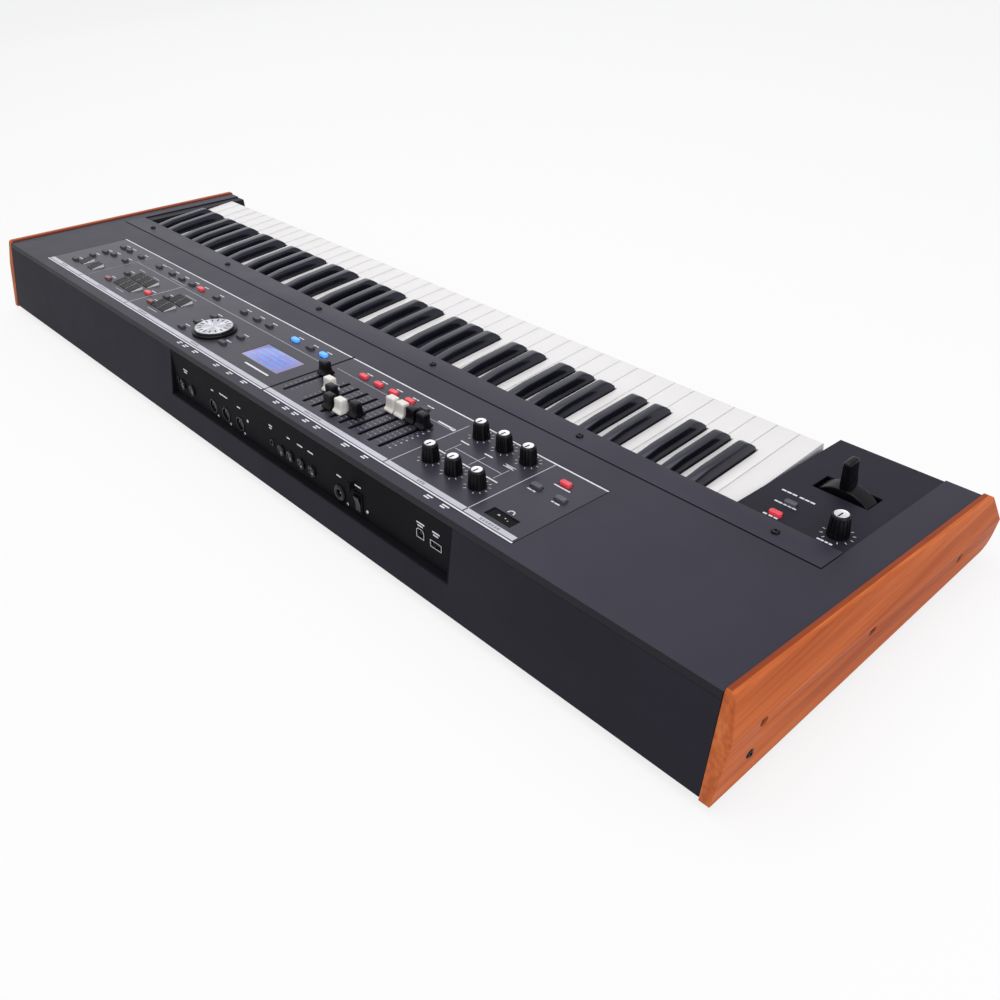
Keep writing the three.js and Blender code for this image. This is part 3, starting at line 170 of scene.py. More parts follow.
def start_column(name: str, radius: float, low: float, high: float, sides: int) -> Piece:
    """Add an upright column on the local origin.

    Args:
        name: The object's name.
        radius: Its radius.
        low: The height of its foot.
        high: The height of its top.
        sides: How many sides it has.

    Returns:
        The new column.
    """
    release()
    bpy.ops.mesh.primitive_cylinder_add(
        vertices=sides, radius=radius * MM, depth=(high - low) * MM, location=(0, 0, (low + high) / 2 * MM)
    )
    bpy.context.object.name = name
    return settle(bpy.context.object)


@contextmanager
def editing(piece: Piece) -> Iterator[None]:
    """Open an object's mesh in edit mode, with nothing selected in it.

    Args:
        piece: The object to edit.
    """
    take(piece)
    bpy.ops.object.mode_set(mode="EDIT")
    bpy.ops.mesh.select_all(action="DESELECT")
    yield
    bpy.ops.object.mode_set(mode="OBJECT")


def pick(piece: Piece, test: Test, kind: Pick = Pick.FACES) -> None:
    """Select the parts of an open mesh that pass a test.

    Args:
        piece: The object in edit mode.
        test: Takes a part's middle in millimetres, and its normal, or an edge's direction.
        kind: Which parts are tested.
    """
    bpy.context.tool_settings.mesh_select_mode = [kind is other for other in Pick]
    mesh = bmesh.from_edit_mesh(piece.data)
    mesh.select_mode = {kind.name[:-1]}
    for part in (*mesh.verts, *mesh.edges, *mesh.faces):
        part.select = False
    for part in getattr(mesh, kind.value):
        if kind is Pick.VERTS:
            middle, direction = part.co, part.normal
        elif kind is Pick.EDGES:
            first, last = (vert.co for vert in part.verts)
            middle, direction = (first + last) / 2, (last - first).normalized()
        else:
            middle, direction = part.calc_center_median(), part.normal
        if test(middle / MM, direction):
            part.select = True
    mesh.select_flush_mode()
    bmesh.update_edit_mesh(piece.data)


def upward(_: Vector, normal: Vector) -> bool:
    """Whether a face looks up."""
    return normal.z > SQUARE


def upright(_: Vector, way: Vector) -> bool:
    """Whether an edge stands upright."""
    return abs(way.z) > SQUARE


def slice_at(axis: int, where: float) -> None:
    """Cut new edges into the whole open mesh along a plane square to an axis.

    Args:
        axis: 0 for x, 1 for y or 2 for z.
        where: The plane's place on the axis.
    """
    normal = Vector([index == axis for index in range(3)])
    bpy.ops.mesh.select_all(action="SELECT")
    bpy.ops.mesh.bisect(plane_co=normal * where * MM, plane_no=normal)
    bpy.ops.mesh.select_all(action="DESELECT")


def extrude(move: Triple) -> None:
    """Extrude the selected region of the open mesh."""
    bpy.ops.mesh.extrude_region_move(TRANSFORM_OT_translate={"value": millimetres(move)})


def shift(move: Triple) -> None:
    """Move what is selected in the open mesh."""
    bpy.ops.transform.translate(value=millimetres(move))


def resize(across: float, along: float) -> None:
    """Scale what is selected in the open mesh about the local z axis."""
    bpy.ops.transform.resize(value=(across, along, 1), center_override=(0, 0, 0))


def raise_rings(*rings: Triple) -> None:
    """Raise the selected top of the open mesh ring by ring.

    Args:
        rings: Each ring's rise, and the scales along x and y after it.
    """
    for rise, across, along in rings:
        extrude((0, 0, rise))
        resize(across, along)


def inset(width: float, depth: float = 0, apart: bool = False) -> None:
    """Inset the selected faces of the open mesh, together or each apart."""
    bpy.ops.mesh.inset(thickness=width * MM, depth=depth * MM, use_individual=apart)


def bevel(width: float, segments: int) -> None:
    """Bevel the selected edges of the open mesh."""
    bpy.ops.mesh.bevel(offset=width * MM, segments=segments)


def apply_modifier(piece: Piece, modifier: bpy.types.Modifier) -> None:
    """Apply a modifier to its object's mesh."""
    take(piece)
    bpy.ops.object.modifier_apply(modifier=modifier.name)


def round_edges(piece: Piece, width: float, segments: int = 2, angle: float = 35) -> None:
    """Round every edge of an object that turns by more than an angle.

    Args:
        piece: The object.
        width: The width of the rounding.
        segments: How many faces it has.
        angle: The least turn, in degrees.
    """
    modifier = piece.modifiers.new("edges", "BEVEL")
    modifier.width = width * MM
    modifier.segments = segments
    modifier.limit_method = "ANGLE"
    modifier.angle_limit = math.radians(angle)
    apply_modifier(piece, modifier)


def smooth(piece: Piece, angle: float = 35) -> None:
    """Shade an object smooth, apart from edges sharper than an angle in degrees."""
    take(piece)
    bpy.ops.object.shade_smooth_by_angle(angle=math.radians(angle))


def dress(piece: Piece, width: float, segments: int = 2, angle: float = 35, shade: float = 35) -> None:
    """Round an object's edges by a width, in so many faces, where they turn by the angle, and shade it smooth."""
    round_edges(piece, width, segments, angle)
    smooth(piece, shade)


def discard(piece: Piece) -> None:
    """Remove a mesh together with its object."""
    bpy.data.meshes.remove(piece.data)


def cut(piece: Piece, tool: Piece) -> None:
    """Cut one object out of another, and remove it.

    Args:
        piece: The object that keeps its remainder.
        tool: The object that is cut away.
    """
    modifier = piece.modifiers.new("cut", "BOOLEAN")
    modifier.operation = "DIFFERENCE"
    modifier.solver = "EXACT"
    modifier.object = tool
    apply_modifier(piece, modifier)
    discard(tool)


def copy_piece(piece: Piece, name: str, place: Matrix | None = None) -> Piece:
    """Copy an object with a mesh of its own.

    Args:
        piece: The object to copy.
        name: The copy's name.
        place: The frame that it is set in, if it moves.

    Returns:
        The copy.
    """
    copy = piece.copy()
    copy.data = piece.data.copy()
    copy.name = name
    bpy.context.scene.collection.objects.link(copy)
    return copy if place is None else put(copy, place)


def join(pieces: Sequence[Piece], name: str, shade: float = 0) -> Piece:
    """Join objects into one mesh.

    Args:
        pieces: The objects.
        name: The joined object's name.
        shade: The sharpest edge that is shaded smooth, in degrees, if it is shaded.

    Returns:
        The joined object.
    """
    take(pieces[0])
    for piece in pieces[1:]:
        piece.select_set(True)
    bpy.ops.object.join()
    pieces[0].name = name
    if shade:
        smooth(pieces[0], shade)
    return pieces[0]


def stamp(piece: Piece, places: Sequence[Matrix], name: str) -> Piece:
    """Repeat an object at several places as one mesh, and remove the original.

    Args:
        piece: The object to repeat.
        places: A frame for each copy.
        name: The result's name.

    Returns:
        The joined copies.
    """
    copies = [copy_piece(piece, f"{name}_{index}") for index, _ in enumerate(places)]
    release()
    for copy, place in zip(copies, places):
        copy.matrix_world = place
        copy.select_set(True)
    bpy.context.view_layer.objects.active = copies[0]
    bpy.ops.object.transform_apply(location=True, rotation=True, scale=True)
    bpy.ops.object.join()
    copies[0].name = name
    discard(piece)
    return copies[0]


def paint(piece: Piece, material: Material) -> Piece:
    """Give an object one material.

    Args:
        piece: The object.
        material: The material.

    Returns:
        The same object.
    """
    piece.data.materials.clear()
    piece.data.materials.append(material)
    return piece


def hand_over(
    piece: Piece, body: str, slot: str, material: Material | None = None, stands_for: Sequence[str] = ()
) -> None:
    """Finish a piece: its material, the body it rides on and the nodes it stands for.

    Args:
        piece: The finished object.
        body: The CAD body that it moves with.
        slot: The record's slot of its finish; not used.
        material: Its material, unless its faces have theirs already.
        stands_for: The CAD nodes that it replaces.
    """
    if material:
        paint(piece, material)
    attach(piece, body)
    if stands_for:
        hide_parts(*stands_for)
    LOG.info("%s rides on %s, %d faces", piece.name, body, len(piece.data.polygons))


def print_bars(name: str, frames: Sequence[Matrix], sizes: Sequence[Pair], material: Material) -> None:
    """Print small bars as one piece and hand it over.

    Args:
        name: The piece's name.
        frames: Each bar's frame.
        sizes: Each bar's length and width.
        material: The ink.
    """
    blank = start_block("dash", (-0.5, -0.5, -INK_SINK), (0.5, 0.5, INK_RISE))
    places = [frame @ Matrix.Diagonal((*size, 1, 1)) for frame, size in zip(frames, sizes)]
    hand_over(stamp(blank, places, name), "case", "white_plastic", material)


# ---------------------------------------------------------------- finishes


def add_node(tree: Tree, kind: str, links: dict[str | int, Socket] | None = None, **values: object) -> bpy.types.Node:
    """Add a node, link its inputs and set their values.

    Args:
        tree: The node tree.
        kind: The node's type, without its first word.
        links: What feeds which input.
        values: Values of other inputs, with underscores for the spaces in their names.

    Returns:
        The node.
    """
    node = tree.nodes.new(f"ShaderNode{kind}")
    for name, source in (links or {}).items():
        tree.links.new(source, node.inputs[name])
    for name, value in values.items():
        node.inputs[name.replace("_", " ")].default_value = value
    return node


def add_math(tree: Tree, kind: str, first: Socket, second: Socket | float = 0) -> Socket:
    """Add arithmetic on values.

    Args:
        tree: The node tree.
        kind: The math node's operation.
        first: The first value.
        second: The second value.

    Returns:
        The result.
    """
    node = add_node(tree, "Math", {0: first})
    node.operation = kind
    if isinstance(second, Socket):
        tree.links.new(second, node.inputs[1])
    else:
        node.inputs[1].default_value = second
    return node.outputs[0]


class Recipe:
    """A node material under way, with short calls for the nodes that the finishes share."""

    def __init__(self, name: str, colour: Colour, roughness: float, metallic: float = 0) -> None:
        """Start a material.

        Args:
            name: The material's name.
            colour: Its plain colour.
            roughness: Its plain roughness.
            metallic: How metallic it is.
        """
        self.material = bpy.data.materials.new(name)
        self.material.use_nodes = True
        self.tree = self.material.node_tree
        self.shader = self.tree.nodes["Principled BSDF"]
        self.set(Base_Color=(*colour, 1), Roughness=roughness, Metallic=metallic)

    def set(self, **values: object) -> None:
        """Set plain values on the shader's own sockets, with underscores for the spaces in their names."""
        for name, value in values.items():
            self.shader.inputs[name.replace("_", " ")].default_value = value

    def feed(self, **sources: Socket) -> None:
        """Link sources to the shader's sockets, with underscores for the spaces in their names."""
        for name, source in sources.items():
            self.tree.links.new(source, self.shader.inputs[name.replace("_", " ")])

    def place(self, scale: Triple = (1, 1, 1), centre: Triple = (0, 0, 0), tilt: float = 0) -> Socket:
        """Object coordinates, scaled and centred.

        Args:
            scale: The scale along each axis.
            centre: The point that becomes the origin, in millimetres.
            tilt: The turn about x.

        Returns:
            The coordinates.
        """
        source = add_node(self.tree, "TexCoord").outputs["Object"]
        mapping = add_node(self.tree, "Mapping", {"Vector": source}, Location=millimetres(centre))
        mapping.vector_type = "TEXTURE"
        mapping.inputs["Rotation"].default_value = (tilt, 0, 0)
        mapping.inputs["Scale"].default_value = [1 / share for share in scale]
        return mapping.outputs["Vector"]

    def noise(self, vector: Socket, scale: float, detail: float = 3, distortion: float = 0) -> Socket:
        """Cloudy noise from 0 to 1: so many clouds to a metre, so many finer layers, pulled about so much."""
        links = {"Vector": vector}
        return add_node(self.tree, "TexNoise", links, Scale=scale, Detail=detail, Distortion=distortion).outputs["Fac"]

    def ramp(self, source: Socket, *stops: tuple[float, Colour]) -> Socket:
        """Colours along a value.

        Args:
            source: The value, from 0 to 1.
            stops: Two or more places and the colours at them.

        Returns:
            The colour.
        """
        node = add_node(self.tree, "ValToRGB", {"Fac": source})
        elements = node.color_ramp.elements
        while len(elements) < len(stops):
            elements.new(1)
        for element, (place, colour) in zip(elements, stops):
            element.position = place
            element.color = (*colour, 1)
        return node.outputs["Color"]

    def plain(self, colour: Colour) -> Socket:
        """One colour everywhere.

        Args:
            colour: The colour.

        Returns:
            The colour as a source.
        """
        output = add_node(self.tree, "RGB").outputs[0]
        output.default_value = (*colour, 1)
        return output

    def spread(self, source: Socket, low: float, high: float) -> Socket:
        """A value from 0 to 1 brought between two numbers."""
        return add_node(self.tree, "MapRange", {"Value": source}, To_Min=low, To_Max=high).outputs["Result"]

    def calc(self, kind: str, first: Socket, second: Socket | float = 0) -> Socket:
        """Arithmetic on values, by the math node's operation."""
        return add_math(self.tree, kind, first, second)

    def blend(self, factor: Socket, first: Socket, second: Socket) -> Socket:
        """A blend of two colours: the factor is the second one's share."""
        return add_node(self.tree, "MixRGB", {"Fac": factor, "Color1": first, "Color2": second}).outputs["Color"]

    def axis(self, vector: Socket, name: str) -> Socket:
        """One coordinate, by its letter."""
        return add_node(self.tree, "SeparateXYZ", {0: vector}).outputs[name]

    def bump(self, height: Socket, depth: float, strength: float = 1) -> None:
        """Feed a relief to the shader: its source, its depth in millimetres and how much of it is used."""
        node = add_node(self.tree, "Bump", {"Height": height}, Distance=depth * MM, Strength=strength)
        self.feed(Normal=node.outputs["Normal"])


@dataclass(frozen=True)
class Plastic:
    """Moulded plastic: a fine grain, a slow drift of colour and an uneven gloss."""

    name: str
    light: Colour
    dark: Colour
    roughness: float
    grain: float = 0.02
    grain_scale: float = 1500
    coat: float = 0
    gloss: float = 0.5
    tint: Colour = (1, 1, 1)

    def make(self) -> Material:
        """Build the material.

        Returns:
            The material.
        """
        recipe = Recipe(self.name, self.light, self.roughness)
        place = recipe.place()
        recipe.feed(
            Base_Color=recipe.ramp(recipe.noise(place, 40), (0.3, self.dark), (0.7, self.light)),
            Roughness=recipe.spread(recipe.noise(place, 160), self.roughness * 0.92, self.roughness * 1.08),
        )
        recipe.bump(recipe.noise(place, self.grain_scale), self.grain)
        recipe.set(Coat_Weight=self.coat, Coat_Roughness=0.08)
        recipe.set(Specular_IOR_Level=self.gloss, Specular_Tint=(*self.tint, 1))
        return recipe.material


@dataclass(frozen=True)
class CasePaint:
    """Textured paint on steel, with a printed overlay on it or an area painted lighter as painted light, and a painted
    dark reflection on the flange behind.
    """

    name: str = "case_paint"
    light: Colour = (0.0085, 0.008, 0.0115)
    dark: Colour = (0.006, 0.0055, 0.0082)
    roughness: float = 0.55
    gloss: float = 0.08
    tint: Colour = (0.84, 0.8, 1)
    film: tuple[float, float, float, float] | None = None
    overlay_or_lit_area_colour: Colour = (0.034, 0.032, 0.044)
    overlay_or_lit_area_drift: float = 0.84
    film_edge: float = 0.9
    film_polish: float = 0.14
    edge_colour: Colour = (0.002, 0.002, 0.002)
    # painted dark reflection: the flange behind the rear edge is painted near black from this depth on
    flange: float | None = None
    flange_reflection_colour: Colour = (0.0015, 0.0015, 0.002)

    def mask(self, recipe: Recipe, place: Socket, grow: float) -> Socket:
        """A mask of the printed overlay's rectangle, or of the area painted lighter as painted light.

        Args:
            recipe: The material under way.
            place: Coordinates in metres.
            grow: How far the rectangle is grown on each side.

        Returns:
            A value of 1 inside the rectangle and 0 outside it.
        """
        tests = []
        for axis, low, high in (("X", *self.film[:2]), ("Y", *self.film[2:])):
            value = recipe.axis(place, axis)
            tests.append(recipe.calc("GREATER_THAN", value, (low - grow) * MM))
            tests.append(recipe.calc("LESS_THAN", value, (high + grow) * MM))
        mask = tests.pop()
        for test in tests:
            mask = recipe.calc("MULTIPLY", mask, test)
        return mask

    def make(self) -> Material:
        """Build the material.

        Returns:
            The material.
        """
        recipe = Recipe(self.name, self.light, self.roughness)
        place = recipe.place()
        tone = recipe.ramp(recipe.noise(place, 9, 6), (0.35, self.dark), (0.65, self.light))
        rough = recipe.spread(recipe.noise(place, 30, 4), self.roughness - 0.04, self.roughness + 0.06)
        # The rectangle is a real printed overlay on the panel's paint, and on the case's paint an area painted lighter:
        # painted light on the rear face.
        if self.film:
            inner, outer = (self.mask(recipe, place, grow) for grow in (0, self.film_edge))
            paler = tuple(part * self.overlay_or_lit_area_drift for part in self.overlay_or_lit_area_colour)
            film = recipe.ramp(recipe.noise(place, 14, 5), (0.3, self.overlay_or_lit_area_colour), (0.7, paler))
            tone = recipe.blend(inner, recipe.blend(outer, tone, recipe.plain(self.edge_colour)), film)
            rough = recipe.calc("SUBTRACT", rough, recipe.calc("MULTIPLY", inner, self.film_polish))
        # Painted reflection: the rear flange's bend is painted near black where it mirrors a dark part of the studio.
        if self.flange is not None:
            behind = recipe.calc("GREATER_THAN", recipe.axis(place, "Y"), self.flange * MM)
            tone = recipe.blend(behind, tone, recipe.plain(self.flange_reflection_colour))
        recipe.feed(Base_Color=tone, Roughness=rough)
        recipe.bump(recipe.noise(place, 1400, 2), 0.03, 0.6)
        recipe.set(Specular_IOR_Level=self.gloss, Specular_Tint=(*self.tint, 1))
        return recipe.material


@dataclass(frozen=True)
class CherryWood:
    """Oiled cherry with its grain along the organ's depth, and painted shade on its inner edge ahead of the rear end.
    """

    name: str = "cherry_wood"
    light: Colour = (0.66, 0.18, 0.055)
    middle: Colour = (0.51, 0.118, 0.03)
    dark: Colour = (0.35, 0.066, 0.016)
    shade: Colour = (0.2, 0.035, 0.01)
    roughness: float = 0.5
    gloss: float = 0.12
    band_share: float = 0.62
    # where the painted shade on the inner edge ends: across the width and along the depth
    edge: float = 595.3
    rear: float = 156

    def make(self) -> Material:
        """Build the material.

        Returns:
            The material.
        """
        recipe = Recipe(self.name, self.middle, self.roughness)
        bands = recipe.noise(recipe.place((60, 1.4, 26)), 1, 4, 0.6)
        streaks = recipe.noise(recipe.place((260, 5, 230)), 1, 5, 0.2)
        pores = recipe.noise(recipe.place((1500, 40, 1500)), 1, 2)
        parts = ((bands, self.band_share), (streaks, 1 - self.band_share))
        blend = recipe.calc("ADD", *(recipe.calc("MULTIPLY", noise, share) for noise, share in parts))
        tone = recipe.ramp(blend, (0.36, self.dark), (0.5, self.middle), (0.64, self.light))
        # Painted shade: the inner edge ahead of the rear end takes these darker tones, where it lies in shade beside
        # the panel.
        shaded = recipe.ramp(blend, (0.3, self.shade), (0.7, self.dark))
        whole = recipe.place()
        inner = recipe.calc("LESS_THAN", recipe.calc("ABSOLUTE", recipe.axis(whole, "X")), self.edge * MM)
        ahead = recipe.calc("LESS_THAN", recipe.axis(whole, "Y"), self.rear * MM)
        recipe.feed(
            Base_Color=recipe.blend(recipe.calc("MULTIPLY", inner, ahead), tone, shaded),
            Roughness=recipe.spread(pores, self.roughness - 0.06, self.roughness + 0.12),
        )
        recipe.bump(recipe.calc("ADD", pores, streaks), 0.06, 0.5)
        recipe.set(Specular_IOR_Level=self.gloss)
        return recipe.material


@dataclass(frozen=True)
class Metal:
    """Satin metal with a fine grain."""

    name: str
    colour: Colour
    shade: Colour
    roughness: float

    def make(self) -> Material:
        """Build the material.

        Returns:
            The material.
        """
        recipe = Recipe(self.name, self.colour, self.roughness, 1)
        grain = recipe.noise(recipe.place(), 900, 2)
        recipe.feed(
            Base_Color=recipe.ramp(grain, (0.3, self.shade), (0.7, self.colour)),
            Roughness=recipe.spread(grain, self.roughness * 0.8, self.roughness * 1.25),
        )
        recipe.bump(grain, 0.01, 0.4)
        return recipe.material


@dataclass(frozen=True)
class LitPlastic:
    """A translucent button cap over a lamp, with a milky grain."""

    name: str
    colour: Colour
    glow: Colour
    strength: float
    roughness: float = 0.3
    dimming: float = 0.75

    def make(self) -> Material:
        """Build the material.

        Returns:
            The material.
        """
        recipe = Recipe(self.name, self.colour, self.roughness)
        cloud = recipe.noise(recipe.place(), 260, 3)
        dim = tuple(part * self.dimming for part in self.glow)
        recipe.feed(
            Emission_Color=recipe.ramp(cloud, (0.3, dim), (0.7, self.glow)),
            Roughness=recipe.spread(cloud, self.roughness - 0.05, self.roughness + 0.1),
        )
        recipe.set(Emission_Strength=self.strength, Coat_Weight=0.4, Coat_Roughness=0.12)
        return recipe.material


@dataclass(frozen=True)
class SpunDisc:
    """Spun aluminium: rings about the disc's middle, and light that fans out from it."""

    name: str
    centre: Triple
    tilt: float
    colour: Colour = (0.72, 0.72, 0.76)
    bright: Colour = (0.82, 0.82, 0.87)
    shade: Colour = (0.46, 0.46, 0.5)
    roughness: float = 0.38
    ring_pitch: float = 0.35
    rays: int = 4

    def make(self) -> Material:
        """Build the material.

        Returns:
            The material.
        """
        recipe = Recipe(self.name, self.colour, self.roughness, 1)
        place = recipe.place(centre=self.centre, tilt=self.tilt)
        across, along = recipe.axis(place, "X"), recipe.axis(place, "Y")
        squares = (recipe.calc("MULTIPLY", side, side) for side in (across, along))
        reach = recipe.calc("SQRT", recipe.calc("ADD", *squares))
        rings = recipe.calc("SINE", recipe.calc("MULTIPLY", reach, 2 * math.pi / (self.ring_pitch * MM)))
        fan = recipe.calc("COSINE", recipe.calc("MULTIPLY", recipe.calc("ARCTAN2", across, along), self.rays))
        recipe.feed(
            Base_Color=recipe.ramp(recipe.spread(fan, 0.2, 0.8), (0, self.shade), (1, self.bright)),
            Roughness=recipe.spread(rings, self.roughness - 0.06, self.roughness + 0.08),
        )
        recipe.bump(rings, 0.006, 0.5)
        return recipe.material


@dataclass(frozen=True)
class LitScreen:
    """A lit display: a violet field with rows of bluer bars in a pale frame."""

    name: str
    centre: Triple
    tilt: float
    length: float
    width: float
    ground: Colour = (0.02, 0.02, 0.05)
    field: Colour = (0.26, 0.27, 0.72)
    edge: Colour = (0.36, 0.31, 0.66)
    bars: Colour = (0.17, 0.42, 0.95)
    frame: Colour = (0.36, 0.34, 0.45)
    rows: int = 5
    row_share: float = 0.52
    inner: Pair = (0.95, 0.9)
    glow: float = 0.82

    def make(self) -> Material:
        """Build the material.

        Returns:
            The material.
        """
        recipe = Recipe(self.name, self.ground, 0.12)
        sizes = (self.length * MM, self.width * MM)
        place, wide = (
            recipe.place((count / sizes[0], count / sizes[1], 1), self.centre, self.tilt) for count in (1, self.rows)
        )
        along = recipe.axis(place, "Y")
        far_u, far_v = recipe.calc("ABSOLUTE", recipe.axis(place, "X")), recipe.calc("ABSOLUTE", along)
        rows = recipe.calc("FRACT", recipe.calc("MULTIPLY", recipe.calc("ADD", along, 0.5), self.rows))
        off = recipe.calc("ABSOLUTE", recipe.calc("SUBTRACT", rows, 0.5))
        row_on = recipe.calc("LESS_THAN", off, self.row_share / 2)
        word = recipe.calc("GREATER_THAN", recipe.noise(wide, 1, 1), 0.44)
        lit = recipe.calc("MULTIPLY", row_on, word)
        lit = recipe.calc("MULTIPLY", lit, recipe.calc("LESS_THAN", far_u, 0.4))
        ground = recipe.ramp(recipe.calc("ADD", far_u, far_v), (0.25, self.field), (0.75, self.edge))
        shown = recipe.blend(recipe.calc("MULTIPLY", lit, 0.8), ground, recipe.plain(self.bars))
        reach = [recipe.calc("DIVIDE", far, share / 2) for far, share in zip((far_u, far_v), self.inner)]
        outside = recipe.calc("GREATER_THAN", recipe.calc("MAXIMUM", *reach), 1)
        recipe.feed(Emission_Color=recipe.blend(outside, shown, recipe.plain(self.frame)))
        recipe.set(Emission_Strength=self.glow, Specular_IOR_Level=0.2)
        return recipe.material


@dataclass(frozen=True)
class DarkGlass:
    """Smoked acrylic with a faint milky depth."""

    name: str = "dark_glass"
    colour: Colour = (0.002, 0.002, 0.003)
    milk: Colour = (0.004, 0.004, 0.006)

    def make(self) -> Material:
        """Build the material.

        Returns:
            The material.
        """
        recipe = Recipe(self.name, self.colour, 0.08)
        haze = recipe.noise(recipe.place(), 90)
        recipe.feed(
            Base_Color=recipe.ramp(haze, (0.3, self.colour), (0.8, self.milk)),
            Roughness=recipe.spread(haze, 0.06, 0.12),
        )
        recipe.set(Specular_IOR_Level=0.05)
        return recipe.material


class Palette:
    """The materials of the organ, each made once."""

    reach = 1000  # past the case on every side
    rear_face = 100  # the case's paint is painted lighter behind this depth: painted light on the rear face
    flange_lap = 0.2  # how far the flange's painted dark reflection reaches over the panel's rear edge

    def __init__(self, places: "Places") -> None:
        """Build them all.

        Args:
            places: Where the printed overlay lies, and where the painted dark reflection on the rear flange starts.
        """
        # Painted light: the case's rear face is painted lighter than its arms, as lit and shaded copies of one paint.
        behind = (-self.reach, self.reach, self.rear_face, self.reach)
        self.paint = CasePaint(film=behind, overlay_or_lit_area_colour=(0.022, 0.021, 0.029), film_edge=0, film_polish=0).make()
        self.block_paint = CasePaint("block_paint", (0.017, 0.016, 0.024), (0.013, 0.012, 0.018), 0.52, 0.16).make()
        self.bay_paint = CasePaint("bay_paint", (0.0075, 0.007, 0.009), (0.005, 0.0048, 0.006), 0.6, 0.05).make()
        low = places.point(places.field_start, places.film_front, 0)
        high = places.point(places.field_end, places.film_rear, 0)
        self.panel_paint = CasePaint(
            "panel_paint",
            (0.024, 0.022, 0.034),
            (0.018, 0.0165, 0.026),
            0.46,
            0.31,
            film=(low[0], high[0], low[1], high[1]),
            flange=places.point(0, places.panel_rear - self.flange_lap, 0)[1],
        ).make()
        self.strip_paint = CasePaint("strip_paint", (0.032, 0.03, 0.044), (0.025, 0.0235, 0.035), 0.44, 0.31).make()
        self.wood = CherryWood().make()
        cool = (0.8, 0.82, 1)
        plastics = (
            Plastic("ivory_keys", (0.805, 0.785, 0.78), (0.795, 0.775, 0.768), 0.3, 0.002, 300, 0.15),
            Plastic("black_keys", (0.006, 0.006, 0.01), (0.004, 0.004, 0.007), 0.17, 0.002, 1100, 0, 0.6, cool),
            Plastic("black_plastic", (0.005, 0.005, 0.007), (0.004, 0.004, 0.005), 0.22, 0.004, 1500, 0, 0.2),
            Plastic("white_plastic", (0.80, 0.775, 0.72), (0.74, 0.71, 0.65), 0.3, 0.008, 900, 0.3),
            Plastic("grey_plastic", (0.05, 0.05, 0.061), (0.04, 0.04, 0.05), 0.42, 0.02, 1500, 0, 0.35),
            Plastic("pale_grey_plastic", (0.075, 0.075, 0.09), (0.06, 0.06, 0.075), 0.4, 0.02),
            Plastic("foot_rubber", (0.018, 0.018, 0.018), (0.012, 0.012, 0.012), 0.8, 0.08, 1200),
            Plastic("board_laminate", (0.02, 0.11, 0.045), (0.015, 0.08, 0.035), 0.45, 0.02, 300),
            Plastic("keybed_steel", (0.16, 0.075, 0.045), (0.11, 0.05, 0.03), 0.6, 0.03),
            Plastic("white_print", (0.78, 0.78, 0.82), (0.66, 0.66, 0.7), 0.5, 0.004, 2500),
            Plastic("grey_print", (0.27, 0.27, 0.31), (0.21, 0.21, 0.245), 0.5, 0.004, 2500),
            Plastic("silver_line", (0.5, 0.5, 0.56), (0.42, 0.42, 0.47), 0.45, 0.004, 2500),
            Plastic("scale_print", (0.4, 0.4, 0.44), (0.32, 0.32, 0.36), 0.5, 0.004, 2500),
            Plastic("silver_band", (0.55, 0.55, 0.62), (0.47, 0.47, 0.53), 0.4, 0.006, 1800, 0.1),
            Plastic("silver_tab_side", (0.95, 0.95, 0.97), (0.88, 0.88, 0.9), 0.32, 0.006, 1200, 0.3),
        )
        self.ivory, self.ebony, self.black, self.white, self.grey, *others = (plastic.make() for plastic in plastics)
        self.pale_grey, self.rubber, self.board, self.keybed, self.print, self.faint_print, *others = others
        self.silver_line, self.scale_print, self.band, self.tab_side = others
        self.glass = DarkGlass().make()
        self.silver = Metal("satin_silver", (0.93, 0.93, 0.96), (0.82, 0.82, 0.86), 0.34).make()
        self.steel = Metal("plated_steel", (0.62, 0.62, 0.64), (0.45, 0.45, 0.47), 0.25).make()
        self.dark_steel = Metal("black_screw_steel", (0.03, 0.03, 0.035), (0.016, 0.016, 0.02), 0.3).make()
        self.lit_red = LitPlastic("lit_red", (0.42, 0.022, 0.034), (0.76, 0.035, 0.055), 0.52).make()
        self.dim_red = LitPlastic("dim_red", (0.07, 0.03, 0.04), (0.2, 0.012, 0.02), 0.35).make()
        self.lit_blue = LitPlastic("lit_blue", (0.05, 0.15, 0.6), (0.05, 0.28, 1.0), 1.5).make()


# ---------------------------------------------------------------- places


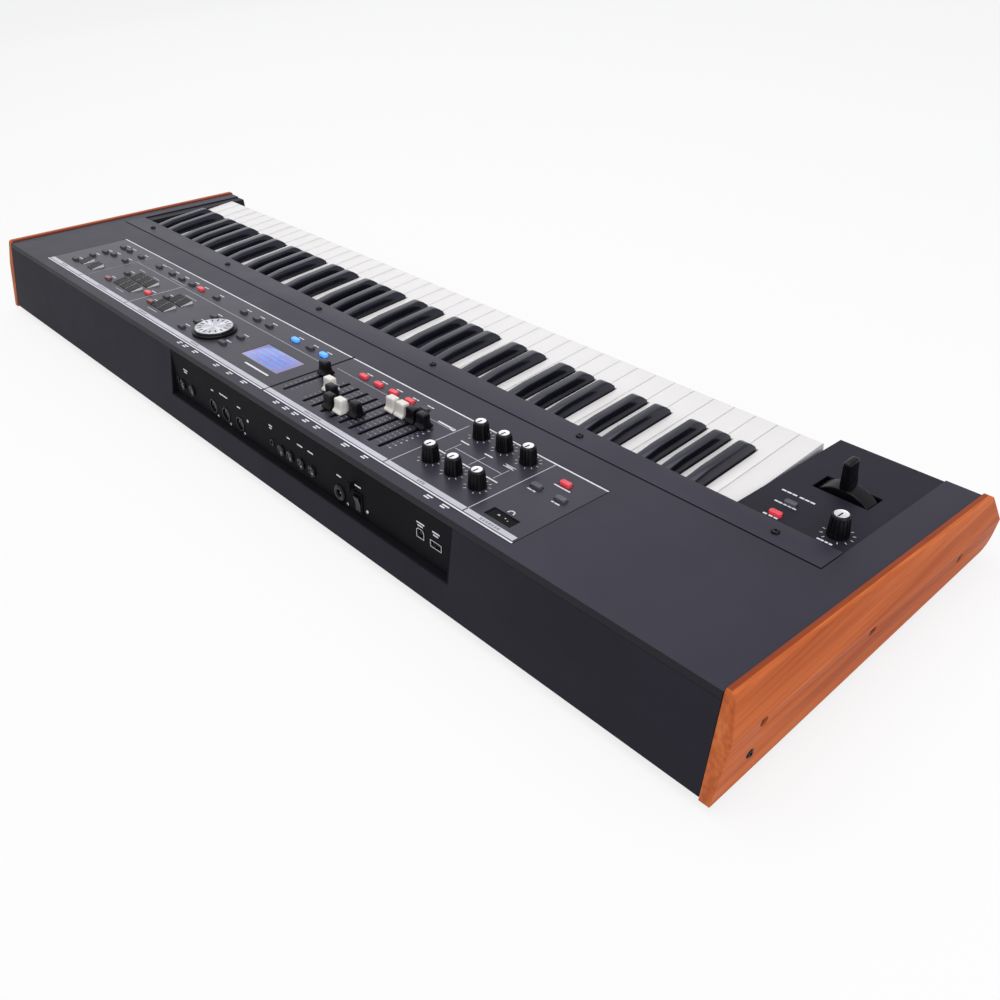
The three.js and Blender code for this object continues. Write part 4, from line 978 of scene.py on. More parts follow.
@dataclass(frozen=True)
class Places:
    """Where the case's faces stand, and the frames that parts are set in."""

    inner_width: float = 1181.5
    middle_depth: float = 151.684
    floor: float = 10
    key_top: float = 63.6
    strip_front: float = 129.7
    over_keys: float = 11.2
    slope: float = math.radians(5.6)
    panel_front: float = 159.2
    panel_rear: float = 310.8
    field_start: float = 205.7
    field_end: float = 1087.3
    film_front: float = 191
    film_rear: float = 298.6
    block_step: float = 1.5
    rear_lean: float = math.radians(13.8)
    bay_start: float = 260
    bay_width: float = 464
    bay_top: float = 7
    bay_lean: float = math.radians(7)
    bender: Triple = (76.03, 52.7, 27.5)

    def point(self, u: float, v: float, z: float) -> Triple:
        """A place in Blender's frame, still in millimetres."""
        return (u - self.inner_width / 2, v - self.middle_depth, z)

    def plane(self, v: float) -> float:
        """The height of the sloping top at depth v."""
        return self.key_top + self.over_keys + (v - self.strip_front) * math.tan(self.slope)

    def surface(self, u: float, v: float) -> Triple:
        """A place on the sloping top in Blender's frame, still in millimetres."""
        return self.point(u, v, self.plane(v))

    def level(self, u: float, v: float, z: float) -> Matrix:
        """A level frame at a place."""
        return Matrix.Translation(millimetres(self.point(u, v, z)))

    def on_top(self, u: float, v: float, lift: float = 0) -> Matrix:
        """The frame of the sloping top: x along the width, y up the slope, z out of it and raised by the lift."""
        turn = Matrix.Rotation(self.slope, 4, "X")
        return self.level(u, v, self.plane(v)) @ turn @ Matrix.Translation((0, 0, lift * MM))

    def on_block(self, u: float, v: float) -> Matrix:
        """The frame of the bass end block's top."""
        return self.on_top(u, v, -self.block_step)

    def rear_top(self) -> float:
        """The height of the top's rear edge."""
        return self.plane(self.panel_rear)

    def bay_v(self, drop: float) -> float:
        """The depth of the jack plate at a drop below the rear edge."""
        edge = self.panel_rear + self.bay_top * math.tan(self.rear_lean)
        return edge + (drop - self.bay_top) * math.tan(self.bay_lean)

    def on_bay(self, share: float, drop: float) -> Matrix:
        """The frame of the jack plate: x to the bass end, y up the plate, z out of the bay.

        Args:
            share: Place along the bay, as a share of its width.
            drop: Distance below the rear edge.

        Returns:
            The frame.
        """
        sine, cosine = math.sin(self.bay_lean), math.cos(self.bay_lean)
        basis = Matrix(((-1, 0, 0, 0), (0, -sine, cosine, 0), (0, cosine, sine, 0), (0, 0, 0, 1)))
        u = self.bay_start + share * self.bay_width
        return self.level(u, self.bay_v(drop), self.rear_top() - drop) @ basis

    def at_bender(self) -> Matrix:
        """The level frame about the bender's two axes."""
        u, v, drop = self.bender
        return self.level(u, v, self.plane(v) - self.block_step - drop)

    def strip(self, name: str, span: Pair, depth: Pair, height: Pair) -> Piece:
        """A flat strip on the sloping top.

        Args:
            name: The strip's name.
            span: Where it starts and ends along the width.
            depth: Where it starts and ends along the depth.
            height: The levels of its faces over the top.

        Returns:
            The strip, in its place.
        """
        half_u = (span[1] - span[0]) / 2
        half_v = (depth[1] - depth[0]) / 2 / math.cos(self.slope)
        piece = start_block(name, (-half_u, -half_v, height[0]), (half_u, half_v, height[1]))
        return put(piece, self.on_top(sum(span) / 2, sum(depth) / 2))


@dataclass
class Part:
    """A sub-assembly: the places that it is set in and the materials that it is made of."""

    places: Places
    palette: Palette


# ---------------------------------------------------------------- keyboard


@dataclass
class Keyboard(Part):
    """Seventy-three waterfall keys, with the frame that they are hinged on."""

    pitch: float = 23.5
    whites: int = 43
    first: float = 131.7
    side_gap: float = 0.9
    front_radius: float = 2.6
    front_drop: float = 19
    front_lip: float = 24
    body_drop: float = 12.5
    fall: float = 155.7
    tail_start: float = 175
    tail_end: float = 202
    tail_radius: float = 4.4
    pivot_drop: float = 10
    black_tip: float = 46.5
    black_width: float = 13.7
    black_top: float = 9
    black_height: float = 11
    black_foot: float = 9
    black_nose: tuple[Pair, ...] = ((0, 3), (4.5, 7.4), (9, 10.2), (12.5, 11))  # places behind the tip, heights
    notch_gap: float = 1.4
    black_end: float = 166
    black_fall: float = 107.7
    black_run: float = 11  # the length over which a black key's rear falls by one
    end_reach: float = 2.4
    frame_depth: Pair = (6, 207)
    frame_lift: float = 1.8
    frame_sheet: float = 1.5
    frame_walls: tuple[Triple, ...] = ((14, 22, 17.5), (203, 206, 31.8))  # front, rear, height
    groove_depth: float = 3
    white_names: tuple[str, ...] = ("key_e1", "key_f1", "key_g1", "key_a1", "key_b1", "key_c2", "key_d2")
    black_names: dict[int, str] = field(
        default_factory=lambda: {
            2: "key_f_sharp1", 3: "key_g_sharp1", 4: "key_a_sharp1", 6: "key_c_sharp2", 7: "key_d_sharp2"
        }
    )
    offsets: dict[int, float] = field(default_factory=lambda: {2: -0.14, 3: 0, 4: 0.14, 6: -0.105, 0: 0.105})

    def has_black(self, joint: int) -> bool:
        """Whether a black key stands on a joint between white keys."""
        return 0 < joint < self.whites and joint % 7 in self.offsets

    def joint_u(self, joint: int) -> float:
        """Where a joint between white keys lies."""
        return self.first + joint * self.pitch

    def black_u(self, joint: int) -> float:
        """The middle of the black key on a joint."""
        return self.joint_u(joint) + self.offsets[joint % 7] * self.pitch

    def ends(self) -> Pair:
        """Where the frame and the rails start and end along the width."""
        return self.joint_u(0) - self.end_reach, self.joint_u(self.whites) + self.end_reach

    def shank(self, index: int) -> Pair:
        """The sides of a white key's shank, from the key's left side.

        Args:
            index: The white key's number from the bass.

        Returns:
            The left and the right side.
        """
        start = self.joint_u(index) + self.side_gap / 2
        half = self.black_width / 2 + self.notch_gap
        left = self.black_u(index) + half - start if self.has_black(index) else 0
        width = self.pitch - self.side_gap
        right = self.black_u(index + 1) - half - start if self.has_black(index + 1) else width
        return left, right

    def model_white(self, left: float, right: float) -> Piece:
        """Model a white key: a lipped head, a shank between the black keys, and a hinged tail.

        Args:
            left: The shank's left side.
            right: The shank's right side.

        Returns:
            The key, with its left front top corner on the local origin.
        """
        width = self.pitch - self.side_gap
        head = self.black_tip - self.notch_gap
        key = start_block("white_key", (0, 0, -self.body_drop), (width, head, 0))
        with editing(key):
            slice_at(1, self.front_lip)
            pick(key, lambda at, normal: normal.z < -SQUARE and at.y < self.front_lip)
            extrude((0, 0, self.body_drop - self.front_drop))
            for side in (left, right):
                if 0 < side < width:
                    slice_at(0, side)
            pick(key, lambda at, normal: normal.y > SQUARE and at.y > head - NEAR and left < at.x < right)
            extrude((0, self.fall - head, 0))
            extrude((0, self.tail_start - self.fall, 0))
            pick(key, lambda at, _: at.y > self.tail_start - NEAR and at.z > -NEAR, Pick.VERTS)
            shift((0, 0, self.tail_radius - self.pivot_drop))
            pick(key, lambda at, _: at.y > self.tail_start - NEAR, Pick.VERTS)
            shift((0, 0, self.body_drop - self.pivot_drop - self.tail_radius))
            pick(key, lambda at, normal: normal.y > SQUARE and at.y > self.tail_start - NEAR)
            extrude((0, self.tail_end - self.tail_start, 0))
            pick(key, lambda at, way: at.y > self.tail_end - NEAR and abs(way.x) > SQUARE, Pick.EDGES)
            bevel(self.tail_radius - 0.1, 4)
            pick(key, lambda at, way: at.y < NEAR and at.z > -NEAR and abs(way.x) > SQUARE, Pick.EDGES)
            bevel(self.front_radius, 5)
        dress(key, 0.45, 2, 40, 40)
        return key

    def model_black(self) -> Piece:
        """Model a black key: upright sides at the foot, a tapered body, a sloped nose and a falling rear.

        Returns:
            The key, with its middle on the local origin and its places along the depth from the white fronts.
        """
        half, tip, height = self.black_width / 2, self.black_tip, self.black_height
        key = start_block("black_key", (-half, tip, -self.black_foot), (half, self.black_end, height))
        rear_top = height - (self.black_end - self.black_fall) / self.black_run
        stations = [(tip + behind, top) for behind, top in self.black_nose]
        stations += [(self.black_fall, height), (self.black_end, rear_top)]
        with editing(key):
            slice_at(2, 0)
            for depth, _ in stations[1:-1]:
                slice_at(1, depth)
            for depth, top in stations:
                pick(key, lambda at, _: abs(at.y - depth) < NEAR and at.z > height - NEAR, Pick.VERTS)
                shift((0, 0, top - height))
                resize(1 - (1 - self.black_top / self.black_width) * top / height, 1)
        dress(key, 0.7, 3, 30)
        return key

    def frame_piece(self) -> Piece:
        """Model the keybed: a base on the case floor, its guide rail, and the web that carries the rails.

        Returns:
            The frame, in its place.
        """
        start, end = self.ends()
        floor = self.places.floor + self.frame_lift
        front, rear = self.frame_depth
        frame = start_block("keybed_frame", (start, front, floor), (end, rear, floor + self.frame_sheet))
        with editing(frame):
            for first, last, _ in self.frame_walls:
                slice_at(1, first)
                slice_at(1, last)
            for first, last, rise in self.frame_walls:
                pick(frame, lambda at, normal: normal.z > SQUARE and first < at.y < last)
                extrude((0, 0, rise))
        return self.set_rail(frame)

    def rail_piece(self, name: str, depth: Pair, height: Pair, groove: float) -> Piece:
        """Model a rail with a round groove that the keys' tails turn in.

        Args:
            name: The rail's name.
            depth: Where it starts and ends along the depth.
            height: Its foot and its top.
            groove: The groove's radius.

        Returns:
            The rail, in its place.
        """
        start, end = self.ends()
        rail = start_block(name, (start, depth[0], height[0]), (end, depth[1], height[1]))
        bore = start_column("bore", groove, start - 1, end + 1, 24)
        middle = millimetres((0, depth[0] + self.groove_depth, sum(height) / 2))
        cut(rail, put(bore, Matrix.Translation(middle) @ Matrix.Rotation(QUARTER, 4, "Y")))
        return self.set_rail(rail)

    def set_rail(self, piece: Piece) -> Piece:
        """Round a rail's edges and set it in its place."""
        dress(piece, 0.3, 1, 40, 30)
        return put(piece, self.places.level(0, 0, 0))

    def set_key(self, blank: Piece, name: str, u: float, hinged: bool, finish: tuple[str, Material]) -> None:
        """Copy a key to its place and hand it over with its material, on its own body if it is hinged."""
        key = copy_piece(blank, f"{name}_shell", self.places.level(u, 0, self.places.key_top))
        hand_over(key, name if hinged else "case", *finish, [name] if hinged else [])

    def build(self) -> None:
        """Model, copy and hand over every key and the frame."""
        blanks: dict[Pair, Piece] = {}
        ivory, ebony = ("ivory_keys", self.palette.ivory), ("black_keys", self.palette.ebony)
        for index in range(self.whites):
            sides = tuple(round(side, 3) for side in self.shank(index))
            if sides not in blanks:
                blanks[sides] = self.model_white(*sides)
            hinged = index < len(self.white_names)
            name = self.white_names[index] if hinged else f"white_key_{index + 1}"
            self.set_key(blanks[sides], name, self.joint_u(index) + self.side_gap / 2, hinged, ivory)
        for blank in blanks.values():
            discard(blank)
        blank = self.model_black()
        for joint in filter(self.has_black, range(self.whites)):
            name = self.black_names.get(joint, f"black_key_{joint}")
            self.set_key(blank, name, self.black_u(joint), joint in self.black_names, ebony)
        discard(blank)
        keybed = self.palette.keybed
        hand_over(self.frame_piece(), "case", "case_paint", keybed, ["key_chassis"])
        rail = self.rail_piece("white_key_rail", (194, 207), (46.2, 60.4), 4.7)
        hand_over(rail, "case", "ivory_keys", keybed, ["upper_white_keys"])
        rail = self.rail_piece("black_key_rail", (177, 188), (62.2, 70.4), 3.3)
        hand_over(rail, "case", "black_keys", keybed, ["upper_black_keys"])


# ---------------------------------------------------------------- case


@dataclass
class CaseShell(Part):
    """The folded case, its panels and its feet, which keep the CAD shapes and get their paint."""

    nodes: dict[str, Piece] = field(default_factory=dict)

    def build(self) -> None:
        """Give each carried-over node its material."""
        finishes = {
            "bottom_case": self.palette.paint,
            "top_panel": self.palette.panel_paint,
            "near_block": self.palette.block_paint,
            "far_block": self.palette.block_paint,
            "jack_plate": self.palette.bay_paint,
            "bender_cradle": self.palette.black,
            "main_board": self.palette.board,
        }
        feet = (f"foot_{end}_{side}" for end in ("front", "rear") for side in ("near", "far"))
        finishes.update(dict.fromkeys(feet, self.palette.rubber))
        for name, material in finishes.items():
            node = self.nodes[name]
            if not node.material_slots:
                node.data.materials.append(material)
            for slot in node.material_slots:
                slot.material = material
            LOG.info("%s keeps its shape", name)


@dataclass
class Cheeks(Part):
    """The two wooden cheeks with their sunk screws."""

    nodes: dict[str, Piece] = field(default_factory=dict)
    screws: tuple[Pair, ...] = ((30.6, 30.7), (155, 21.2), (283.7, 9.9), (293.3, 34.5))  # places, drops under the keys
    thickness: float = 14
    gap: float = 0.4
    sink: float = 5
    radius: float = 3.9
    head: float = 3
    socket: float = 1.5

    def board(self, node: str) -> Piece:
        """Round the edges of a copy of the CAD cheek.

        Args:
            node: The cheek's node.

        Returns:
            The rounded board.
        """
        board = copy_piece(self.nodes[node], f"{node}_board")
        with editing(board):
            bpy.ops.mesh.select_all(action="SELECT")
            bpy.ops.mesh.remove_doubles(threshold=0.01 * MM)
            bpy.ops.mesh.dissolve_limited(angle_limit=math.radians(1))
        dress(board, 1.0, 3, 14, 40)
        return board

    def screw(self) -> Piece:
        """Model a button-head screw with a hexagonal socket, its head up along z.

        Returns:
            The screw, with the head's foot under the local origin.
        """
        head = start_column("cheek_screw", self.radius, -self.head, -1.2, 24)
        with editing(head):
            pick(head, upward)
            raise_rings((0.9, 0.62, 0.62))
        cut(head, start_column("socket", self.socket, -2.2, 1, 6))
        dress(head, 0.15, 2, 30, 40)
        return head

    def build(self) -> None:
        """Model and hand over the boards and their screws."""
        for node in ("near_cheek", "far_cheek"):
            hand_over(self.board(node), "case", "cherry_wood", self.palette.wood, [node])
        blank = self.screw()
        outer = self.gap + self.thickness
        far = self.places.inner_width + outer - self.sink
        for side, edge, turn in (("near", -outer + self.sink, -QUARTER), ("far", far, QUARTER)):
            for index, (v, drop) in enumerate(self.screws):
                place = self.places.level(edge, v, self.places.key_top - drop) @ Matrix.Rotation(turn, 4, "Y")
                place = place @ Matrix.Translation((0, 0, self.head * MM))
                screw = copy_piece(blank, f"{side}_cheek_screw_{index + 1}", place)
                hand_over(screw, "case", "case_paint", self.palette.dark_steel)
        discard(blank)


@dataclass
class CoverStrip(Part):
    """The strip behind the keys with its six dome screws."""

    span: Pair = (31.4, 1162.1)
    depth: Pair = (129.7, 157.6)
    height: Pair = (-1.2, 0.3)
    screw_u: float = 80.4
    screw_pitch: float = 205.4
    screws: int = 6
    screw_radius: float = 3.5
    socket: float = 1.25

    def build(self) -> None:
        """Model and hand over the strip and its screws."""
        strip = self.places.strip("front_strip_plate", self.span, self.depth, self.height)
        dress(strip, 0.4, 3)
        hand_over(strip, "case", "case_paint", self.palette.strip_paint, ["front_strip"])
        blank = start_column("strip_screw", self.screw_radius, 0.2, 1.1, 28)
        with editing(blank):
            pick(blank, upward)
            raise_rings((0.9, 0.86, 0.86), (0.5, 0.7, 0.7))
        cut(blank, start_column("socket", self.socket, 0.9, 3, 6))
        dress(blank, 0.12, 2, 30, 50)
        for index in range(self.screws):
            place = self.places.on_top(self.screw_u + index * self.screw_pitch, sum(self.depth) / 2)
            screw = copy_piece(blank, f"strip_screw_{index + 1}", place)
            hand_over(screw, "case", "case_paint", self.palette.dark_steel)
        discard(blank)


# ---------------------------------------------------------------- panel print


@dataclass
class PanelPrint(Part):
    """The silver band, the lines that divide the panel, the sliders' scales and the small marks.

    A mark is the middle (u, v) of a bar, its length and its width.
    """

    split: Pair = (559, 562)
    breaks: tuple[float, ...] = (265, 369, 560.5, 869, 996)
    band: Pair = (289.9, 295.5)
    outer_line: Pair = (296.6, 298.2)
    front_line: Pair = (191.4, 193)
    step: float = 0.05  # how far the band lies over the other print, and the dark lines under it
    dividers: dict[float, Pair] = field(
        default_factory=lambda: {265: (193.4, 289.9), 367.5: (201, 289.9), 992: (200, 286), 869: (223, 289.9)}
    )
    divider_half: float = 0.45
    bracket_us: Triple = (285.2, 315.5, 347.1)
    scale_front: float = 233
    scale_step: float = 5.4
    scale_side: float = 5.4
    scale_marks: int = 9
    sensor_end: Pair = (260, 220)  # the sensor's field ends at this u, and its button stands ahead of this v
    rear_shares: tuple[float, ...] = (
        0.041, 0.084, 0.272, 0.334, 0.43, 0.468, 0.508, 0.541, 0.577, 0.706, 0.766, 0.822, 0.919, 0.963, 0.99
    )
    band_words: tuple[tuple[float, int], ...] = (
        (226.5, 7), (318, 3), (470, 8), (700, 5), (820, 6), (925, 7), (1040, 5)
    )

    def line(self, name: str, span: Pair, depth: Pair, material: Material, rise: float = 0) -> None:
        """Lay one line on the panel and hand it over.

        Args:
            name: The line's name.
            span: Where it starts and ends along the width.
            depth: Where it starts and ends along the depth.
            material: Its material.
            rise: How far it stands up over the other print.
        """
        piece = self.places.strip(name, span, depth, (-INK_SINK, INK_RISE + rise))
        round_edges(piece, 0.03, 1)
        hand_over(piece, "case", "silver_metal", material)

    def dashes(self, name: str, marks: Sequence[Sequence[float]], material: Material, lift: float = 0) -> None:
        """Print marks on the sloping top as one piece, raised by the lift."""
        frames = [self.places.on_top(u, v, lift) for u, v, _, _ in marks]
        print_bars(name, frames, [mark[2:] for mark in marks], material)

    def lines(self) -> None:
        """Lay the silver band, the thin lines beside it and the lines that divide the panel."""
        start, end = self.places.field_start, self.places.field_end
        ink, silver, scale = self.palette.print, self.palette.silver_line, self.palette.scale_print
        breaks = [start + 1.2, *self.breaks, end - 0.6]
        for index, (u0, u1) in enumerate(zip(breaks[:-1], breaks[1:])):
            self.line(f"silver_band_{index + 1}", (u0 + 0.8, u1 - 0.8), self.band, self.palette.band, self.step)
        for part, span in (("bass", (start, self.split[0])), ("treble", (self.split[1], end))):
            self.line(f"outer_line_{part}", span, self.outer_line, ink)
            self.line(f"front_line_{part}", span, self.front_line, ink)
        # Painted shade: a dark strip stands for the shade in the groove between the bass and treble halves of the
        # print.
        self.line("split_groove", self.split, (190, self.outer_line[1]), self.palette.bay_paint, -self.step)
        half = self.divider_half
        for part, u in (("bass", start - 0.4), ("treble", end + 0.4)):
            self.line(f"film_edge_{part}", (u - half, u + half), (191.4, 298.4), self.palette.bay_paint, -self.step)
        for index, (u, depth) in enumerate(self.dividers.items()):
            material = silver if u < 900 else self.palette.faint_print
            self.line(f"divider_{index + 1}", (u - half, u + half), depth, material)
        self.line("divider_along", (578, 991), (221.7, 222.5), scale)
        self.line("divider_sliders", (376, 551), (217.6, 218.3), scale)
        self.line("bracket_along", (285.9, 345.4), (235.7, 236.4), silver)
        for index, u in enumerate(self.bracket_us):
            self.line(f"bracket_across_{index + 1}", (u - 0.3, u + 0.3), (227.5, 245.8), silver)

    def scales(self, sliders: Sequence[float]) -> None:
        """Print the rows of marks beside the sliders' slots.

        Args:
            sliders: The slots' places along the width.
        """
        marks = []
        for u in sliders:
            for step in range(self.scale_marks):
                v = self.scale_front + step * self.scale_step
                marks += [(u + self.scale_side, v, 2.6, 0.6), (u - self.scale_side, v, 1.8, 0.6)]
        marks += [(384.6, 234 + step * 6.1, 2.4, 1.5) for step in range(8)]
        self.dashes("slider_scales", marks, self.palette.scale_print)

    def labels(self, buttons: Sequence[Pair]) -> None:
        """Print the small bars beside the buttons, on the silver band and along the rear edge.

        Args:
            buttons: The buttons' places.
        """
        marks = []
        for index, (u, v) in enumerate(buttons):
            beside_sensor = u < self.sensor_end[0]
            if beside_sensor and v < self.sensor_end[1]:
                continue
            v += 6.2 if beside_sensor else -7.4
            long, short = (5.4, 2.8) if index % 2 else (3.6, 4.8)
            marks += [(u - (short + 0.8) / 2, v, long, 1.3), (u + (long + 0.8) / 2, v, short, 1.3)]
        marks += [(235.3, 215.6, 18, 1.4), (382, 215.4, 24, 2), (372.5, 216.4, 6, 3.2)]
        marks += [(346.3, 224, 11, 1.5), (315.3, 224, 10, 1.5)]
        marks += [(289, 222.4, 13, 0.7), (289, 225.4, 13, 0.7), (289, 224, 8, 1)]
        marks += [(349, 248.5, 11, 1.5), (315.5, 248.8, 10, 1.5), (284.4, 248.2, 14, 1.5)]
        marks += [(606, 277.6, 44, 2.2)]
        self.dashes("panel_labels", marks, self.palette.print)
        faint = [(954.2, 232, 15, 1.2), (916.2, 232.4, 16, 1.2), (888.8, 217.9, 38, 1), (828.5, 232.6, 26, 1.2)]
        faint += [(912.8, 281, 20, 1.2), (827, 281.4, 22, 1.2), (946, 202.3, 26, 1.2)]
        self.dashes("tab_labels", faint, self.palette.scale_print)
        band = []
        for start, count in self.band_words:
            band += [(start + step * 3.3, 292.7, 2.1 if step % 3 else 2.7, 2.6) for step in range(count)]
        self.dashes("band_labels", band, self.palette.faint_print, lift=0.08)
        rear = []
        for index, share in enumerate(self.rear_shares):
            u = self.places.bay_start + share * self.places.bay_width
            rear += [(u, 301.2, 8.5 - index % 3, 1.5), (u + 1, 303.9, 5.5 + index % 2, 1.5)]
        self.dashes("rear_edge_labels", rear, self.palette.print)

    def block_labels(self) -> None:
        """Print the bars beside the end block's buttons."""
        marks = [(u, 86.1, 4.2, 1.9) for u in (85.8, 90.8, 95.8, 102.4, 107.4, 112.4)]
        marks += [(u, 103.9, 3.4, 1.7) for u in (91, 95.2, 99.4, 103.6, 107.4)]
        marks += [(u, 125.2, 3.6, 1.8) for u in (93.2, 97.8, 103)]
        marks += [(u, 125.2, 2.8, 1.8) for u in (44.6, 48.2, 51.8, 55)]
        frames = [self.places.on_block(u, v) for u, v, _, _ in marks]
        print_bars("block_labels", frames, [mark[2:] for mark in marks], self.palette.print)

    def knob_ticks(self, knobs: Sequence[tuple[Matrix, float]]) -> None:
        """Print a fan of ticks around each knob.

        Args:
            knobs: Each knob's frame and the radius of its fan.
        """
        frames = []
        for frame, radius in knobs:
            for step in range(11):
                turn = Matrix.Rotation(math.radians(step * 30 - 240), 4, "Z")
                frames.append(frame @ (turn @ Matrix.Translation((radius * MM, 0, 0))))
        print_bars("knob_ticks", frames, [(2.4, 0.55)] * len(frames), self.palette.print)

    def arch(self) -> None:
        """Print the small arch in front of the hand sensor, and pale marks beside it that are painted highlights on its
        lenses.
        """
        frames = []
        for step in range(9):
            place = self.places.on_top(236.2, 270.6) @ Matrix.Rotation(math.pi * step / 8 - math.pi, 4, "Z")
            frames.append(place @ Matrix.Translation((2.9 * MM, 0, 0)) @ Matrix.Rotation(math.pi / 2, 4, "Z"))
        print_bars("sensor_arch", frames, [(1.5, 1.1)] * len(frames), self.palette.print)
        # Painted highlights: pale marks under the sensor's window stand for glints on its lenses.
        spots = ((241.4, 278.5, 2.2, 1.6), (234.2, 278.2, 1.2, 1.2), (230.4, 279.6, 1, 1))
        self.dashes("sensor_lamps", spots, self.palette.silver_line, lift=-0.7)


# ---------------------------------------------------------------- controls


@dataclass
class Sliders(Part):
    """Nine drawbars and the level slider, each a waisted cap on a stem."""

    pitch: float = 14.9
    middle: float = 453.4
    level_u: float = 547.05
    front_v: float = 232.1
    travel: float = 47.5
    shares: tuple[float, ...] = (0.99, 0.99, 0.99, 0.99, 0.34, 0.22, 0.18, 0.43, 0.6, 0.96)  # of the travel, at rest
    whites: tuple[int, ...] = (2, 3, 5, 8)
    width: float = 12.8
    length: float = 13.6
    neck: float = 7.8
    flare: float = 1.4
    lift: float = 0.7

    def places_u(self) -> list[float]:
        """The sliders' places along the width, the level slider last."""
        return [self.middle + (index - 4) * self.pitch for index in range(9)] + [self.level_u]

    def cap(self) -> Piece:
        """Model a cap: a flared foot, a waist and a crowned head, with its stem below.

        Returns:
            The cap, on the local origin.
        """
        half, reach, waist = self.width / 2, self.length / 2, self.neck + self.flare
        cap = start_block("slider_cap", (-half, -reach, self.lift), (half, reach, self.lift + 1.9))
        with editing(cap):
            pick(cap, upward)
            raise_rings((2.1, 0.93, waist / self.length), (3.9, 0.96, self.neck / waist))
            raise_rings((4.6, 0.99, 1), (1.4, 0.9, 0.9))
        round_edges(cap, 0.8, 3, 24)
        stem = start_block("stem", (-1.2, -3, -9), (1.2, 3, self.lift + 1))
        return join([cap, stem], "slider_cap", 50)

    def build(self) -> None:
        """Model, copy and hand over the caps."""
        cap = self.cap()
        white, black = ("white_plastic", self.palette.white), ("black_plastic", self.palette.black)
        for index, (u, share) in enumerate(zip(self.places_u(), self.shares)):
            body = "level_slider" if u == self.level_u else f"drawbar_{index + 1}"
            place = self.places.on_top(u, self.front_v + (1 - share) * self.travel)
            piece = copy_piece(cap, f"{body}_cap", place)
            hand_over(piece, body, *(white if index in self.whites else black), [body])
        discard(cap)


@dataclass
class Knobs(Part):
    """Six effect knobs and the volume knob: fluted skirts with silver caps and dark pointers.

    The sizes of a knob are its radius, the radius of its shoulder, its height and the radius of its cap.
    """

    columns: tuple[float, ...] = (284.55, 314.75, 344.95)
    rows: tuple[float, ...] = (206.5, 263.4)
    sizes: tuple[float, ...] = (8.1, 6.8, 15.2, 4.8)
    volume: Pair = (48.05, 110)
    volume_sizes: tuple[float, ...] = (8.9, 7.4, 18, 5.7)
    lift: float = 0.6
    flutes: int = 16
    flute_depth: float = 0.5

    def skirt(self, radius: float, top: float, height: float) -> Piece:
        """Model a fluted skirt with a rounded shoulder.

        Args:
            radius: The radius at the foot.
            top: The radius at the shoulder.
            height: The height over the panel.

        Returns:
            The skirt, on the local origin.
        """
        sides = self.flutes * 3
        body = start_column("knob_skirt", radius, self.lift, self.lift + height * 0.9, sides)
        step = 2 * math.pi / sides
        with editing(body):
            pick(body, lambda at, _: at.z > self.lift + 1, Pick.VERTS)
            resize(top / radius, top / radius)
            pick(body, lambda at, normal: abs(normal.z) < 0.5 and round(math.atan2(at.y, at.x) / step - 0.5) % 3 == 0)
            inset(0.12, -self.flute_depth, apart=True)
            pick(body, lambda at, normal: normal.z > SQUARE and at.z > self.lift + 1)
            raise_rings((height * 0.07, 0.93, 0.93), (height * 0.03, 0.9, 0.9))
        shaft = start_column("shaft", 3, -7.4, self.lift + 0.5, 20)
        return join([body, shaft], "knob_skirt", 40)

    def cap(self, radius: float, height: float) -> Piece:
        """Model a silver cap with a turned edge.

        Args:
            radius: The cap's radius.
            height: Its foot over the panel.

        Returns:
            The cap, on the local origin.
        """
        cap = start_column("knob_cap", radius, height - 0.4, height + 0.4, 40)
        with editing(cap):
            pick(cap, upward)
            inset(0.5)
            inset(0.15, -0.15)
        dress(cap, 0.12, 2, 40, 40)
        return cap

    def build_one(self, name: str, place: Matrix, sizes: Sequence[float]) -> None:
        """Model one knob and hand its pieces over.

        Args:
            name: The knob's body and node.
            place: Its frame.
            sizes: Its sizes.
        """
        *skirt_sizes, cap_radius = sizes
        crown = self.lift + sizes[2]
        black = self.palette.black
        skirt = put(self.skirt(*skirt_sizes), place, f"{name}_skirt")
        hand_over(skirt, name, "black_plastic", black, [name])
        cap = put(self.cap(cap_radius, crown), place, f"{name}_cap")
        hand_over(cap, name, "silver_metal", self.palette.silver)
        low, high = (-0.55, -cap_radius * 0.25, crown + 0.2), (0.55, cap_radius * 0.96, crown + 0.48)
        pointer = put(start_block("knob_pointer", low, high), place, f"{name}_pointer")
        hand_over(pointer, name, "black_plastic", black)

    def panel_frames(self) -> list[Matrix]:
        """The frames of the knobs on the panel."""
        return [self.places.on_top(u, v) for u in self.columns for v in self.rows]

    def frames(self) -> list[tuple[Matrix, float]]:
        """Each knob's frame, and the radius of the ticks around it."""
        panel = [(frame, self.sizes[0] + 2.6) for frame in self.panel_frames()]
        return [*panel, (self.places.on_block(*self.volume), self.volume_sizes[0] + 3.2)]

    def build(self) -> None:
        """Model every knob."""
        for index, frame in enumerate(self.panel_frames()):
            self.build_one(f"fx_knob_{index + 1}", frame, self.sizes)
        self.build_one("volume_knob", self.places.on_block(*self.volume), self.volume_sizes)


